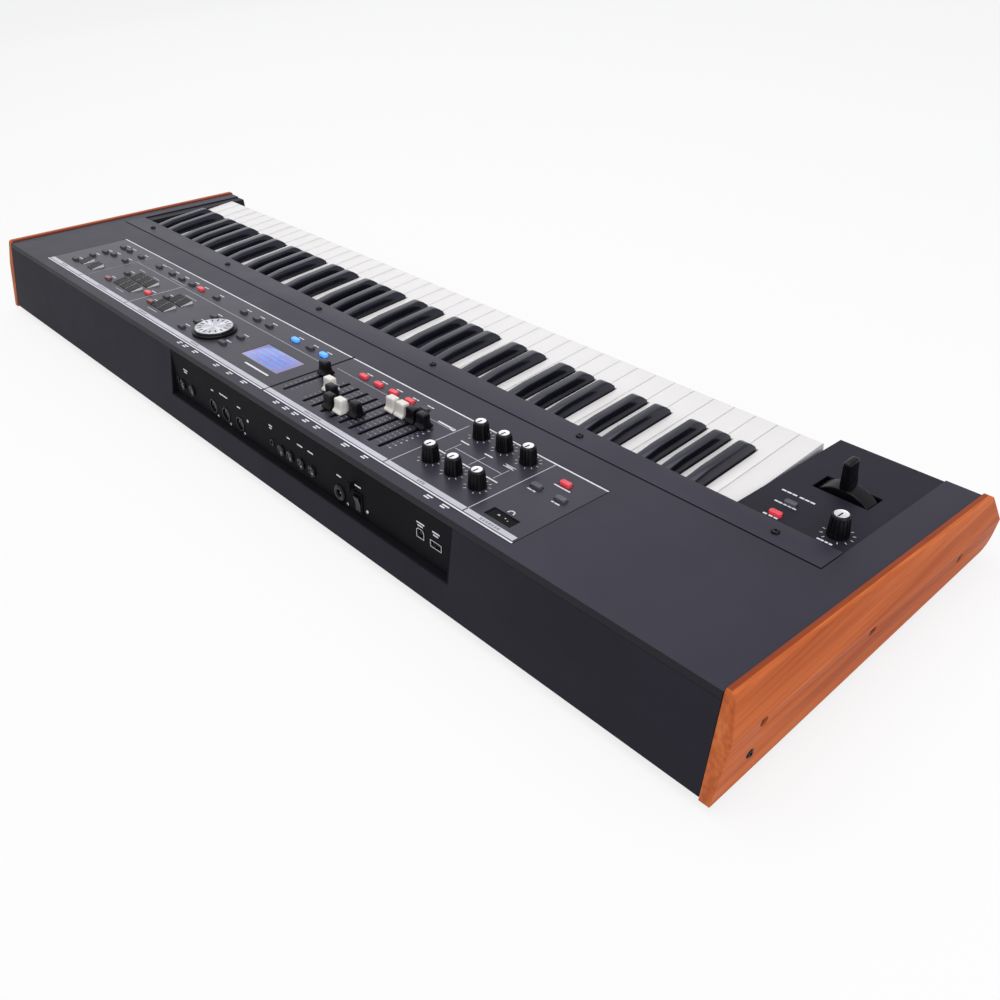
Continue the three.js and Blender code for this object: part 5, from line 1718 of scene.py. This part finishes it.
@dataclass
class DataDial(Part):
    """The value dial: a black skirt under a spun disc with dark marks around its edge."""

    at: Pair = (722.05, 260.2)
    radius: float = 24
    disc: float = 20.5
    height: float = 6
    marks: int = 16

    def build(self) -> None:
        """Model and hand over the skirt, the disc and the marks."""
        place, black = self.places.on_top(*self.at), self.palette.black
        skirt = start_column("dial_skirt", self.radius, 0.6, 2.4, 72)
        with editing(skirt):
            pick(skirt, upward)
            raise_rings((0.8, 0.965, 0.965))
            inset(1.4)
            raise_rings((1.5, 0.985, 0.985))
        skirt = join([skirt, start_column("shaft", 4, -7.4, 1, 24)], "dial_skirt", 30)
        hand_over(put(skirt, place), "data_dial", "black_plastic", black, ["data_dial"])
        disc = start_column("dial_disc", self.disc, 3.2, self.height - 0.5, 72)
        with editing(disc):
            pick(disc, upward)
            raise_rings((0.5, 0.975, 0.975))
            inset(0.5)
            inset(11, -0.25)
        smooth(disc, 30)
        spun = SpunDisc("spun_disc", self.places.surface(*self.at), self.places.slope).make()
        hand_over(put(disc, place), "data_dial", "silver_metal", spun)
        mark = start_block("mark", (-0.75, 13.4, self.height - 0.45), (0.75, 18.4, self.height + 0.02))
        turns = [Matrix.Rotation(2 * math.pi * index / self.marks, 4, "Z") for index in range(self.marks)]
        marks = stamp(mark, [place @ turn for turn in turns], "dial_marks")
        hand_over(marks, "data_dial", "black_plastic", black)


class Lamp(Enum):
    """How a button's cap shows."""

    DARK = "dark"
    GREY = "grey"
    RED = "red"
    DIM = "dim"
    BLUE = "blue"


@dataclass
class PushButtons(Part):
    """The small rounded buttons of the panel and of the end block.

    A share is a place along the printed field, as a share of its width.
    """

    length: float = 11
    width: float = 5.5
    rise: float = 2.7
    corner: float = 1.9
    field_width: float = 881.6
    front_v: float = 210.5
    effects: tuple[float, ...] = (0.2684, 0.2967, 0.3239, 0.3515)
    front_row: tuple[float, ...] = (
        0.2433, 0.4317, 0.46, 0.4917, 0.5518, 0.5814, 0.6135, 0.6841,
        0.7257, 0.7509, 0.7806, 0.8087, 0.8478, 0.905, 0.9438, 0.9635,
    )
    inner_rows: tuple[tuple[float, tuple[float, ...]], ...] = (
        (0.7309, (252.2, 272.2)), (0.7628, (261.7,)), (0.8536, (250.2, 274.6)),
        (0.9074, (231.4,)), (0.9443, (231.9,)), (0.9635, (235.2, 252.3, 274.9)),
    )
    lamps: dict[Pair, Lamp] = field(
        default_factory=lambda: {
            (0.4317, 210.5): Lamp.BLUE, (0.4917, 210.5): Lamp.BLUE, (0.7257, 210.5): Lamp.RED,
            (0.7628, 261.7): Lamp.RED, (0.7309, 272.2): Lamp.DIM, (0.8536, 274.6): Lamp.DIM,
        }
    )
    dial_u: float = 722.05
    dial_reach: float = 35.3
    block_u: float = 96.6

    def row(self) -> list[tuple[float, float, Lamp, str]]:
        """List the panel's buttons.

        Returns:
            Each button's place, its lamp and its body, or an empty name for the panel's own.
        """
        start, width = self.places.field_start, self.field_width
        buttons = [
            (start + share * width, self.front_v, Lamp.RED, f"effect_button_{index + 1}")
            for index, share in enumerate(self.effects)
        ]
        for share, depths in (*((share, (self.front_v,)) for share in self.front_row), *self.inner_rows):
            for v in depths:
                buttons.append((start + share * width, v, self.lamps.get((share, v), Lamp.DARK), ""))
        buttons += [(self.dial_u + self.dial_reach, v, Lamp.DARK, "") for v in (241.2, 262.1, 280.9)]
        buttons += [(self.dial_u - self.dial_reach, v, Lamp.DARK, "") for v in (249.2, 270.4)]
        buttons += [(222.9, 229.2, Lamp.GREY, ""), (250.5, 229.2, Lamp.GREY, "")]
        return [*buttons, (236.73, 209.6, Lamp.RED, "sensor_button")]

    def cap(self) -> Piece:
        """Model a cap: rounded corners, a bevelled crown and a slightly hollow top.

        Returns:
            The cap, on the local origin.
        """
        half, across = self.length / 2, self.width / 2
        cap = start_block("button_cap", (-half, -across, -3), (half, across, self.rise - 0.5))
        with editing(cap):
            pick(cap, upright, Pick.EDGES)
            bevel(self.corner, 4)
            pick(cap, upward)
            raise_rings((0.35, 0.965, 0.93), (0.15, 0.95, 0.9))
            inset(0.35, -0.08)
        smooth(cap, 50)
        return cap

    def set_button(self, cap: Piece, place: Matrix, lamp: Lamp, body: str, name: str = "") -> None:
        """Copy a cap to its place and hand it over.

        Args:
            cap: The cap's shape.
            place: Its frame.
            lamp: How it shows.
            body: Its body, if it has one of its own.
            name: Its name, if it has no body of its own.
        """
        slot, material = {
            Lamp.DARK: ("grey_plastic", self.palette.grey),
            Lamp.GREY: ("grey_plastic", self.palette.pale_grey),
            Lamp.RED: ("red_plastic", self.palette.lit_red),
            Lamp.DIM: ("red_plastic", self.palette.dim_red),
            Lamp.BLUE: ("grey_plastic", self.palette.lit_blue),
        }[lamp]
        piece = copy_piece(cap, name or f"{body}_cap", place)
        hand_over(piece, body or "case", slot, material, [body] if body else [])

    def build(self) -> list[Pair]:
        """Model, copy and hand over every button.

        Returns:
            The places of the panel's buttons.
        """
        cap, row = self.cap(), self.row()
        for index, (u, v, lamp, body) in enumerate(row):
            name = "" if body else f"panel_button_{index + 1}"
            self.set_button(cap, self.places.on_top(u, v), lamp, body, name)
        for body, lamp, v in (("stop_button", Lamp.RED, 120.5), ("speed_button", Lamp.GREY, 100.4)):
            self.set_button(cap, self.places.on_block(self.block_u, v), lamp, body)
        discard(cap)
        return [button[:2] for button in row]


@dataclass
class VoiceTabs(Part):
    """Twelve wedge tabs with ribbed tops and a pale bass side."""

    pitch: float = 16
    row_pitch: float = 21
    width: float = 15.2
    depth: float = 15.6
    front_rise: float = 3.4
    rear_rise: float = 0.7
    rear_v: float = 267.8
    foot: float = -12
    ribs: int = 9
    rib_pitch: float = 1.42
    groups: tuple[tuple[float, int, int], ...] = (  # the middle, the columns and the rows of each group
        (827.1, 2, 2), (918.5, 3, 2), (1010.6, 1, 1), (1037.9, 1, 1)
    )

    def raise_front(self, piece: Piece, rise: float) -> None:
        """Raise the front edge of an open block's top."""
        pick(piece, lambda at, _: at.z > 0 and at.y < 0, Pick.VERTS)
        shift((0, 0, rise))

    def wedge(self) -> Piece:
        """Model a tab: its top falls to the rear and carries fine ribs across.

        Returns:
            The tab, on the local origin.
        """
        half, reach = self.width / 2, self.depth / 2
        tab = start_block("tab", (-half, -reach, self.foot), (half, reach, self.rear_rise))
        with editing(tab):
            self.raise_front(tab, self.front_rise - self.rear_rise)
            pick(tab, upward)
            inset(0.7)
            inset(0.25, -0.3)
        fall = (self.front_rise - self.rear_rise) / self.depth
        round_edges(tab, 0.25, 2, 30)
        ribs = []
        for index in range(self.ribs):
            y = -reach + 2.1 + index * self.rib_pitch
            top = self.front_rise - (y + reach) * fall - 0.02
            ribs.append(start_block("rib", (-half + 1.4, y - 0.3, top - 0.6), (half - 1.4, y + 0.3, top)))
        return join([tab, *ribs], "tab", 30)

    def side(self) -> Piece:
        """Model the pale strip on a tab's bass side.

        Returns:
            The strip, on the local origin.
        """
        left, reach = -self.width / 2, self.depth / 2 - 0.2
        side = start_block("tab_side", (left - 0.03, -reach, -1), (left + 0.6, reach, self.rear_rise - 0.1))
        with editing(side):
            self.raise_front(side, self.front_rise - self.rear_rise - 0.05)
        return side

    def build(self) -> None:
        """Model, copy and hand over every tab."""
        blank, side = self.wedge(), self.side()
        number = 0
        for middle, columns, rows in self.groups:
            for index in range(columns * rows):
                number += 1
                u = middle + (index % columns - (columns - 1) / 2) * self.pitch
                place = self.places.on_top(u, self.rear_v - index // columns * self.row_pitch)
                name = f"voice_tab_{number}"
                hand_over(copy_piece(blank, name, place), "case", "grey_plastic", self.palette.black)
                hand_over(copy_piece(side, f"{name}_side", place), "case", "silver_metal", self.palette.tab_side)
        discard(blank)
        discard(side)


@dataclass
class Display(Part):
    """The lit display and the hand sensor's window."""

    at: Pair = (616.97, 252.4)
    length: float = 68.9
    width: float = 33.2
    sensor_at: Pair = (236.73, 279.5)
    sensor_length: float = 29.4
    sensor_width: float = 11.4

    def build(self) -> None:
        """Model and hand over both windows."""
        half, across = self.length / 2, self.width / 2
        window = start_block("display_glass", (-half, -across, -1.5), (half, across, -0.3))
        dress(window, 0.25)
        put(window, self.places.on_top(*self.at))
        middle = self.places.surface(*self.at)
        screen = LitScreen("lit_screen", middle, self.places.slope, self.length, self.width).make()
        hand_over(window, "case", "blue_glass", screen, ["display_window"])
        half, across = self.sensor_length / 2, self.sensor_width / 2
        lens = start_block("sensor_lens", (-half, -across, -3.6), (half, across, -0.6))
        with editing(lens):
            pick(lens, upright, Pick.EDGES)
            bevel(1.2, 3)
            pick(lens, upward)
            inset(0.8)
            inset(0.5, -0.4)
        smooth(lens)
        put(lens, self.places.on_top(*self.sensor_at))
        hand_over(lens, "case", "dark_glass", self.palette.glass, ["sensor_window"])


@dataclass
class PanelBoard(Part):
    """The board under the panel with the faders' housings."""

    sliders: Sequence[float] = ()
    front: float = 44
    rear: float = 133
    housings: float = 96.65  # all three from the panel's front
    margin: float = 2
    drop: float = 14
    thickness: float = 1.6

    def build(self) -> None:
        """Model and hand over the board and what stands on it."""
        span = (self.places.field_start + self.margin, self.places.field_end - self.margin)
        edge, foot = self.places.panel_front, -self.drop - 0.4
        height = (-self.drop - self.thickness, -self.drop)
        board = self.places.strip("panel_board_sheet", span, (edge + self.front, edge + self.rear), height)
        hand_over(board, "case", "board_laminate", self.palette.board, ["panel_board"])
        for index, u in enumerate(self.sliders):
            outer = start_block("housing", (-4.5, -28.55, foot), (4.5, 28.55, -5.5))
            cut(outer, start_block("well", (-2.3, -27.55, 1 - self.drop), (2.3, 27.55, 0)))
            put(outer, self.places.on_top(u, edge + self.housings), f"fader_housing_{index + 1}")
            hand_over(outer, "case", "grey_plastic", self.palette.black)


@dataclass
class Bender(Part):
    """The pitch bender: an arched body with a paddle."""

    radius: float = 34
    width: float = 15
    hub: float = 4
    paddle_length: float = 9
    pin_radius: float = 2.4
    pin_reach: float = 10.2

    def build(self) -> None:
        """Model and hand over the lever."""
        turn = Matrix.Rotation(QUARTER, 4, "X")
        body = put(start_column("bender_body", self.radius, -self.width / 2, self.width / 2, 72), turn)
        with editing(body):
            bpy.ops.mesh.select_all(action="SELECT")
            middle = millimetres((0, 0, self.hub))
            bpy.ops.mesh.bisect(plane_co=middle, plane_no=(0, 0, 1), use_fill=True, clear_inner=True)
        round_edges(body, 1.2, 3, 40)
        foot, half, across = self.radius - 2, self.paddle_length / 2, self.width / 2
        paddle = start_block("paddle", (-half, -across, foot), (half, across, foot + 6))
        with editing(paddle):
            pick(paddle, upward)
            raise_rings((8, 0.86, 0.99), (8, 0.94, 0.99), (5, 0.98, 0.99))
        round_edges(paddle, 2.2, 4, 40)
        pin = put(start_column("pin", self.pin_radius, -self.pin_reach, self.pin_reach, 24), turn)
        lever = put(join([body, paddle, pin], "bender_lever_shell", 50), self.places.at_bender())
        hand_over(lever, "bender_lever", "black_plastic", self.palette.black, ["bender_lever"])


# ---------------------------------------------------------------- rear bay


@dataclass
class JackBay(Part):
    """The sockets of the rear bay, the power rocker and their small marks.

    A share is a place along the bay, and a drop is a distance below the top's rear edge.
    """

    jacks: tuple[float, ...] = (0.4282, 0.4677, 0.508, 0.5411, 0.919, 0.9625)
    jack_drop: float = 40.5
    minis: tuple[float, ...] = (0.577, 0.9886)
    mini_drop: float = 38.5
    dins: tuple[float, ...] = (0.7064, 0.7664, 0.8216)
    din_drop: float = 42
    captions: tuple[tuple[float, float, float, int], ...] = (  # share, drop, length and number of rows
        (0.041, 21, 9, 2), (0.084, 21, 10, 2), (0.272, 25, 9, 1), (0.334, 27, 7, 1), (0.43, 22, 9, 1),
        (0.468, 22, 9, 1), (0.51, 22, 5, 1), (0.577, 21, 6, 2), (0.706, 24, 6, 1), (0.77, 22, 16, 1),
        (0.82, 24, 5, 1), (0.941, 21, 9, 2),
    )
    screws: tuple[Pair, ...] = ((0.245, 45), (0.31, 51), (0.692, 50.5), (0.752, 50.5), (0.806, 50.5), (0.672, 33))
    rocker_at: Pair = (0.2716, 41)
    rocker_tilt: float = math.radians(8)
    rocker_half: float = 7.5
    rocker_axis: float = 3
    back: float = -15

    def ring(self, radii: Pair, heights: Pair, material: Material, edge: float = 0, sides: int = 40) -> Piece:
        """Model a ring.

        Args:
            radii: Its bore and its outer radius.
            heights: Its foot and its top.
            material: Its material.
            edge: The width of its rounded edges, if they are rounded.
            sides: How many sides it has.

        Returns:
            The ring, on the local origin.
        """
        bore, outer = radii
        ring = start_column("ring", outer, *heights, sides)
        cut(ring, start_column("bore", bore, heights[0] - 1, heights[1] + 1, 40))
        if edge:
            round_edges(ring, edge, 2, 40)
        return paint(ring, material)

    def housing(self, half: float, across: float, bore: float, sides: int) -> Piece:
        """Model the black block behind a socket, with its bore.

        Args:
            half: Half its width.
            across: Half its height.
            bore: The bore's radius.
            sides: How many sides the bore has.

        Returns:
            The block, on the local origin.
        """
        body = start_block("body", (-half, -across, self.back - 0.4), (half, across, -1.9))
        cut(body, start_column("bore", bore, -12, 1, sides))
        return paint(body, self.palette.black)

    def jack(self) -> Piece:
        """Model a quarter-inch socket: a hexagonal nut, a black bushing, a plated sleeve and its body.

        Returns:
            The socket, on the local origin.
        """
        nut = self.ring((4.7, 6.2), (0.2, 1.5), self.palette.black, 0.2, 6)
        bushing = self.ring((3.3, 4.72), (-2.1, 1.9), self.palette.black, 0.2)
        sleeve = self.ring((3.05, 3.35), (-11, 1.2), self.palette.silver)
        spring = start_block("spring", (-0.9, -3.4, -1.5), (0.9, -2.2, 1.3))
        sleeve = join([sleeve, paint(spring, self.palette.silver)], "sleeve")
        return join([nut, bushing, sleeve, self.housing(7, 10, 3.3, 40)], "jack_socket", 35)

    def mini(self) -> Piece:
        """Model a 3.5 mm socket."""
        rim = self.ring((1.8, 3.5), (-2, 0.7), self.palette.black, 0.2)
        return join([rim, self.housing(4, 5, 1.8, 24)], "mini_socket", 35)

    def din(self) -> Piece:
        """Model a five-pole round socket: a shell, a disc and five contacts.

        Returns:
            The socket, on the local origin.
        """
        shell = self.ring((6.4, 7.6), (self.back, 0.7), self.palette.black, 0.15)
        disc = paint(start_column("disc", 6.5, -8, -1.2, 40), self.palette.black)
        contact = self.ring((0.5, 0.95), (-2, -0.9), self.palette.steel, sides=16)
        reach = Matrix.Translation((4.6 * MM, 0, 0))
        turns = [Matrix.Rotation(math.pi * index / 4, 4, "Z") @ reach for index in range(5)]
        return join([shell, disc, stamp(contact, turns, "contacts")], "din_socket", 35)

    def usb(self, width: float, height: float, tongue: float, chamfer: float) -> Piece:
        """Model a plated USB shell with its tongue.

        Args:
            width: The opening's width.
            height: The opening's height.
            tongue: The tongue's thickness.
            chamfer: The cut of the two upper corners.

        Returns:
            The socket, on the local origin.
        """
        half, across = width / 2, height / 2
        shell = start_block("shell", (-half - 0.7, -across - 0.7, self.back), (half + 0.7, across + 0.7, 0.6))
        well = start_block("well", (-half, -across, -9), (half, across, 3))
        for block, grow in ((shell, 0.4), (well, 0)) if chamfer else ():
            with editing(block):
                pick(block, lambda at, way: abs(way.z) > SQUARE and at.y > 0, Pick.EDGES)
                bevel(chamfer + grow, 1)
        cut(shell, well)
        bar = start_block("tongue", (-half + 2, -tongue / 2, -9.5), (half - 2, tongue / 2, -0.8))
        round_edges(bar, 0.2, 1)
        return join([paint(shell, self.palette.steel), paint(bar, self.palette.black)], "usb_socket", 30)

    def inlet(self) -> Piece:
        """Model the power inlet: a raised black collar about a deep bore with its pin.

        Returns:
            The inlet, on the local origin.
        """
        collar = self.ring((3.2, 8.2), (self.back, 1.2), self.palette.black)
        with editing(collar):
            pick(collar, upward)
            inset(1.3, 0.8)
        round_edges(collar, 0.3, 2, 30)
        pin = paint(start_column("pin", 1, -9, -0.2, 20), self.palette.steel)
        return join([collar, pin], "power_inlet", 35)

    def rocker(self) -> Piece:
        """Model the power rocker: two halves that slope to the middle.

        Returns:
            The rocker, in its place and tipped to one side.
        """
        half = self.rocker_half
        rocker = start_block("power_rocker", (-3.8, -half, -5), (3.8, half, 2.6))
        with editing(rocker):
            slice_at(1, 0)
            pick(rocker, lambda at, _: abs(at.y) < NEAR and at.z > 1, Pick.VERTS)
            shift((0, 0, -half * math.tan(self.rocker_tilt)))
        dress(rocker, 0.35, 2, 30, 20)
        down, up = (Matrix.Translation((0, 0, way * self.rocker_axis * MM)) for way in (-1, 1))
        tilt = down @ Matrix.Rotation(self.rocker_tilt, 4, "X") @ up
        return put(rocker, self.places.on_bay(*self.rocker_at) @ tilt)

    def board(self) -> Piece:
        """Model the board that the sockets stand on.

        Returns:
            The board, in its place.
        """
        half, across = self.places.bay_width / 2 - 2, 19.75
        board = start_block("jack_board_sheet", (-half, -across, -16.6), (half, across, self.back))
        return put(board, self.places.on_bay(0.5, 34.75))

    def labels(self) -> None:
        """Print the bars above the sockets, and set the small screws beside them."""
        frames, sizes = [], []
        for share, drop, length, rows in self.captions:
            for row in range(rows):
                frames.append(self.places.on_bay(share + row * 0.001, drop + row * 2.7))
                sizes.append((length * (1 - row * 0.3), 1.4))
        print_bars("bay_labels", frames, sizes, self.palette.print)
        screw = start_column("bay_screw", 1.7, -0.5, 0.5, 16)
        round_edges(screw, 0.3, 2, 30)
        places = [self.places.on_bay(share, drop) for share, drop in self.screws]
        hand_over(stamp(screw, places, "bay_screws"), "case", "case_paint", self.palette.steel)

    def build(self) -> None:
        """Model, copy and hand over the sockets and the switch."""
        hand_over(self.board(), "case", "board_laminate", self.palette.board, ["jack_board"])
        jack, mini, din = self.jack(), self.mini(), self.din()
        rows = ((jack, self.jacks, self.jack_drop), (mini, self.minis, self.mini_drop), (din, self.dins, self.din_drop))
        for blank, shares, drop in rows:
            for index, share in enumerate(shares):
                piece = copy_piece(blank, f"{blank.name}_{index + 1}", self.places.on_bay(share, drop))
                hand_over(piece, "case", "grey_plastic")
            discard(blank)
        singles = (
            ("usb_b_socket", self.usb(8.5, 7.8, 2.4, 1.6), 0.084, 30.5),
            ("usb_a_socket", self.usb(13, 5.4, 1.2, 0), 0.041, 32.5),
            ("power_inlet", self.inlet(), 0.3335, 44),
        )
        for name, piece, share, drop in singles:
            hand_over(put(piece, self.places.on_bay(share, drop), name), "case", "grey_plastic")
        self.labels()
        hand_over(self.rocker(), "power_switch", "black_plastic", self.palette.black, ["power_switch"])


# ---------------------------------------------------------------- studio


@dataclass
class Studio:
    """The camera, the pale floor, the soft lamps and the white surround. Places are in metres, powers in watts."""

    camera_at: Triple = (-0.851635, 0.527195, 0.568565)
    camera_turn: Triple = (54.1044, 4.7695, -132.3012)
    lens: float = 37.054
    shift: Pair = (-0.00147, -0.00348)
    target: Triple = (0, 0, 0.05)
    warm: Colour = (1, 0.99, 0.98)
    cool: Colour = (0.98, 0.98, 1)
    floor_colour: Colour = (0.86, 0.86, 0.86)
    sky: Colour = (0.93, 0.95, 1)
    sky_strength: float = 0.5

    def camera(self) -> None:
        """Set up the camera at the photograph's angle."""
        data = bpy.data.cameras.new("camera")
        data.lens = self.lens
        data.sensor_width = 36
        data.shift_x, data.shift_y = self.shift
        data.clip_end = 60
        camera = bpy.data.objects.new("camera", data)
        camera.location = self.camera_at
        camera.rotation_euler = [math.radians(angle) for angle in self.camera_turn]
        bpy.context.scene.collection.objects.link(camera)
        bpy.context.scene.camera = camera

    def lamp(self, name: str, at: Triple, size: Pair, power: float, colour: Colour) -> None:
        """Add a soft rectangular lamp that looks at the organ.

        Args:
            name: The lamp's name.
            at: Where it hangs.
            size: Its sides.
            power: Its power.
            colour: Its colour.
        """
        data = bpy.data.lights.new(name, "AREA")
        data.shape = "RECTANGLE"
        data.size, data.size_y = size
        data.energy = power
        data.color = colour
        lamp = bpy.data.objects.new(name, data)
        lamp.location = at
        lamp.rotation_euler = (Vector(self.target) - Vector(at)).to_track_quat("-Z", "Y").to_euler()
        bpy.context.scene.collection.objects.link(lamp)

    def show(self, owner: Material | bpy.types.World, lit: tuple[str | Colour | float, ...], shares: Pair) -> None:
        """Give a floor or a world one look for the light that it casts and a white one for the eye.

        Args:
            owner: The material or the world.
            lit: The type of the shader that casts the light, its colour and its strength, if it has one.
            shares: How much of the white rays from the camera see, and rays off a mirror or through glass.
        """
        owner.use_nodes = True
        tree = owner.node_tree
        tree.nodes.clear()
        kind, colour, *strength = lit
        soft = add_node(tree, kind, Color=(*colour, 1), **{"Strength": value for value in strength})
        white = add_node(tree, "Background" if strength else "Emission", Color=(1, 1, 1, 1), Strength=1)
        path, (direct, mirrored) = add_node(tree, "LightPath"), shares
        rays = (("Camera", direct), ("Glossy", mirrored), ("Transmission", mirrored))
        factors = [add_math(tree, "MULTIPLY", path.outputs[f"Is {name} Ray"], share) for name, share in rays]
        factor = add_math(tree, "MAXIMUM", add_math(tree, "MAXIMUM", *factors[:2]), factors[2])
        mix = add_node(tree, "MixShader", {"Fac": factor, 1: soft.outputs[0], 2: white.outputs[0]})
        add_node(tree, "OutputWorld" if strength else "OutputMaterial", {"Surface": mix.outputs[0]})

    def floor(self) -> None:
        """Lay the floor, which keeps the organ's shadow."""
        release()
        bpy.ops.mesh.primitive_plane_add(size=40, location=(0, 0, 0))
        floor = bpy.context.object
        floor.name = "studio_floor"
        material = bpy.data.materials.new("floor_white")
        self.show(material, ("BsdfDiffuse", self.floor_colour), (0.8, 0.1))
        paint(settle(floor), material)

    def world(self) -> None:
        """Light the scene from all sides, and show a white surround."""
        bpy.context.scene.world = bpy.data.worlds.new("surround")
        self.show(bpy.context.scene.world, ("Background", self.sky, self.sky_strength), (1, 0.5))

    def build(self) -> None:
        """Set up the whole studio."""
        self.camera()
        self.floor()
        self.world()
        self.lamp("softbox_over", (0, 0.3, 1.8), (2.4, 1.6), 19, self.warm)
        self.lamp("softbox_bass", (-1.9, 0.3, 0.9), (1.4, 1.0), 9, self.cool)
        self.lamp("softbox_treble", (1.9, -1.1, 1.1), (2.2, 1.6), 4.2, self.cool)
        self.lamp("softbox_player", (0.5, -1, 2.2), (1.6, 1.2), 7, self.warm)
        bpy.context.scene.view_settings.view_transform = "Standard"


def main() -> None:
    """Load the frame and build every sub-assembly around it."""
    logging.basicConfig(level=logging.INFO, format="%(name)s: %(message)s")
    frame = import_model()
    release()
    places = Places()
    palette = Palette(places)
    Studio().build()
    CaseShell(places, palette, frame["nodes"]).build()
    Cheeks(places, palette, frame["nodes"]).build()
    Keyboard(places, palette).build()
    CoverStrip(places, palette).build()
    sliders = Sliders(places, palette)
    sliders.build()
    knobs = Knobs(places, palette)
    knobs.build()
    DataDial(places, palette).build()
    spots = PushButtons(places, palette).build()
    VoiceTabs(places, palette).build()
    Display(places, palette).build()
    PanelBoard(places, palette, sliders.places_u()).build()
    Bender(places, palette).build()
    JackBay(places, palette).build()
    marks = PanelPrint(places, palette)
    marks.lines()
    marks.scales(sliders.places_u())
    marks.labels(spots)
    marks.block_labels()
    marks.arch()
    marks.knob_ticks(knobs.frames())


if __name__ == "__main__":
    main()
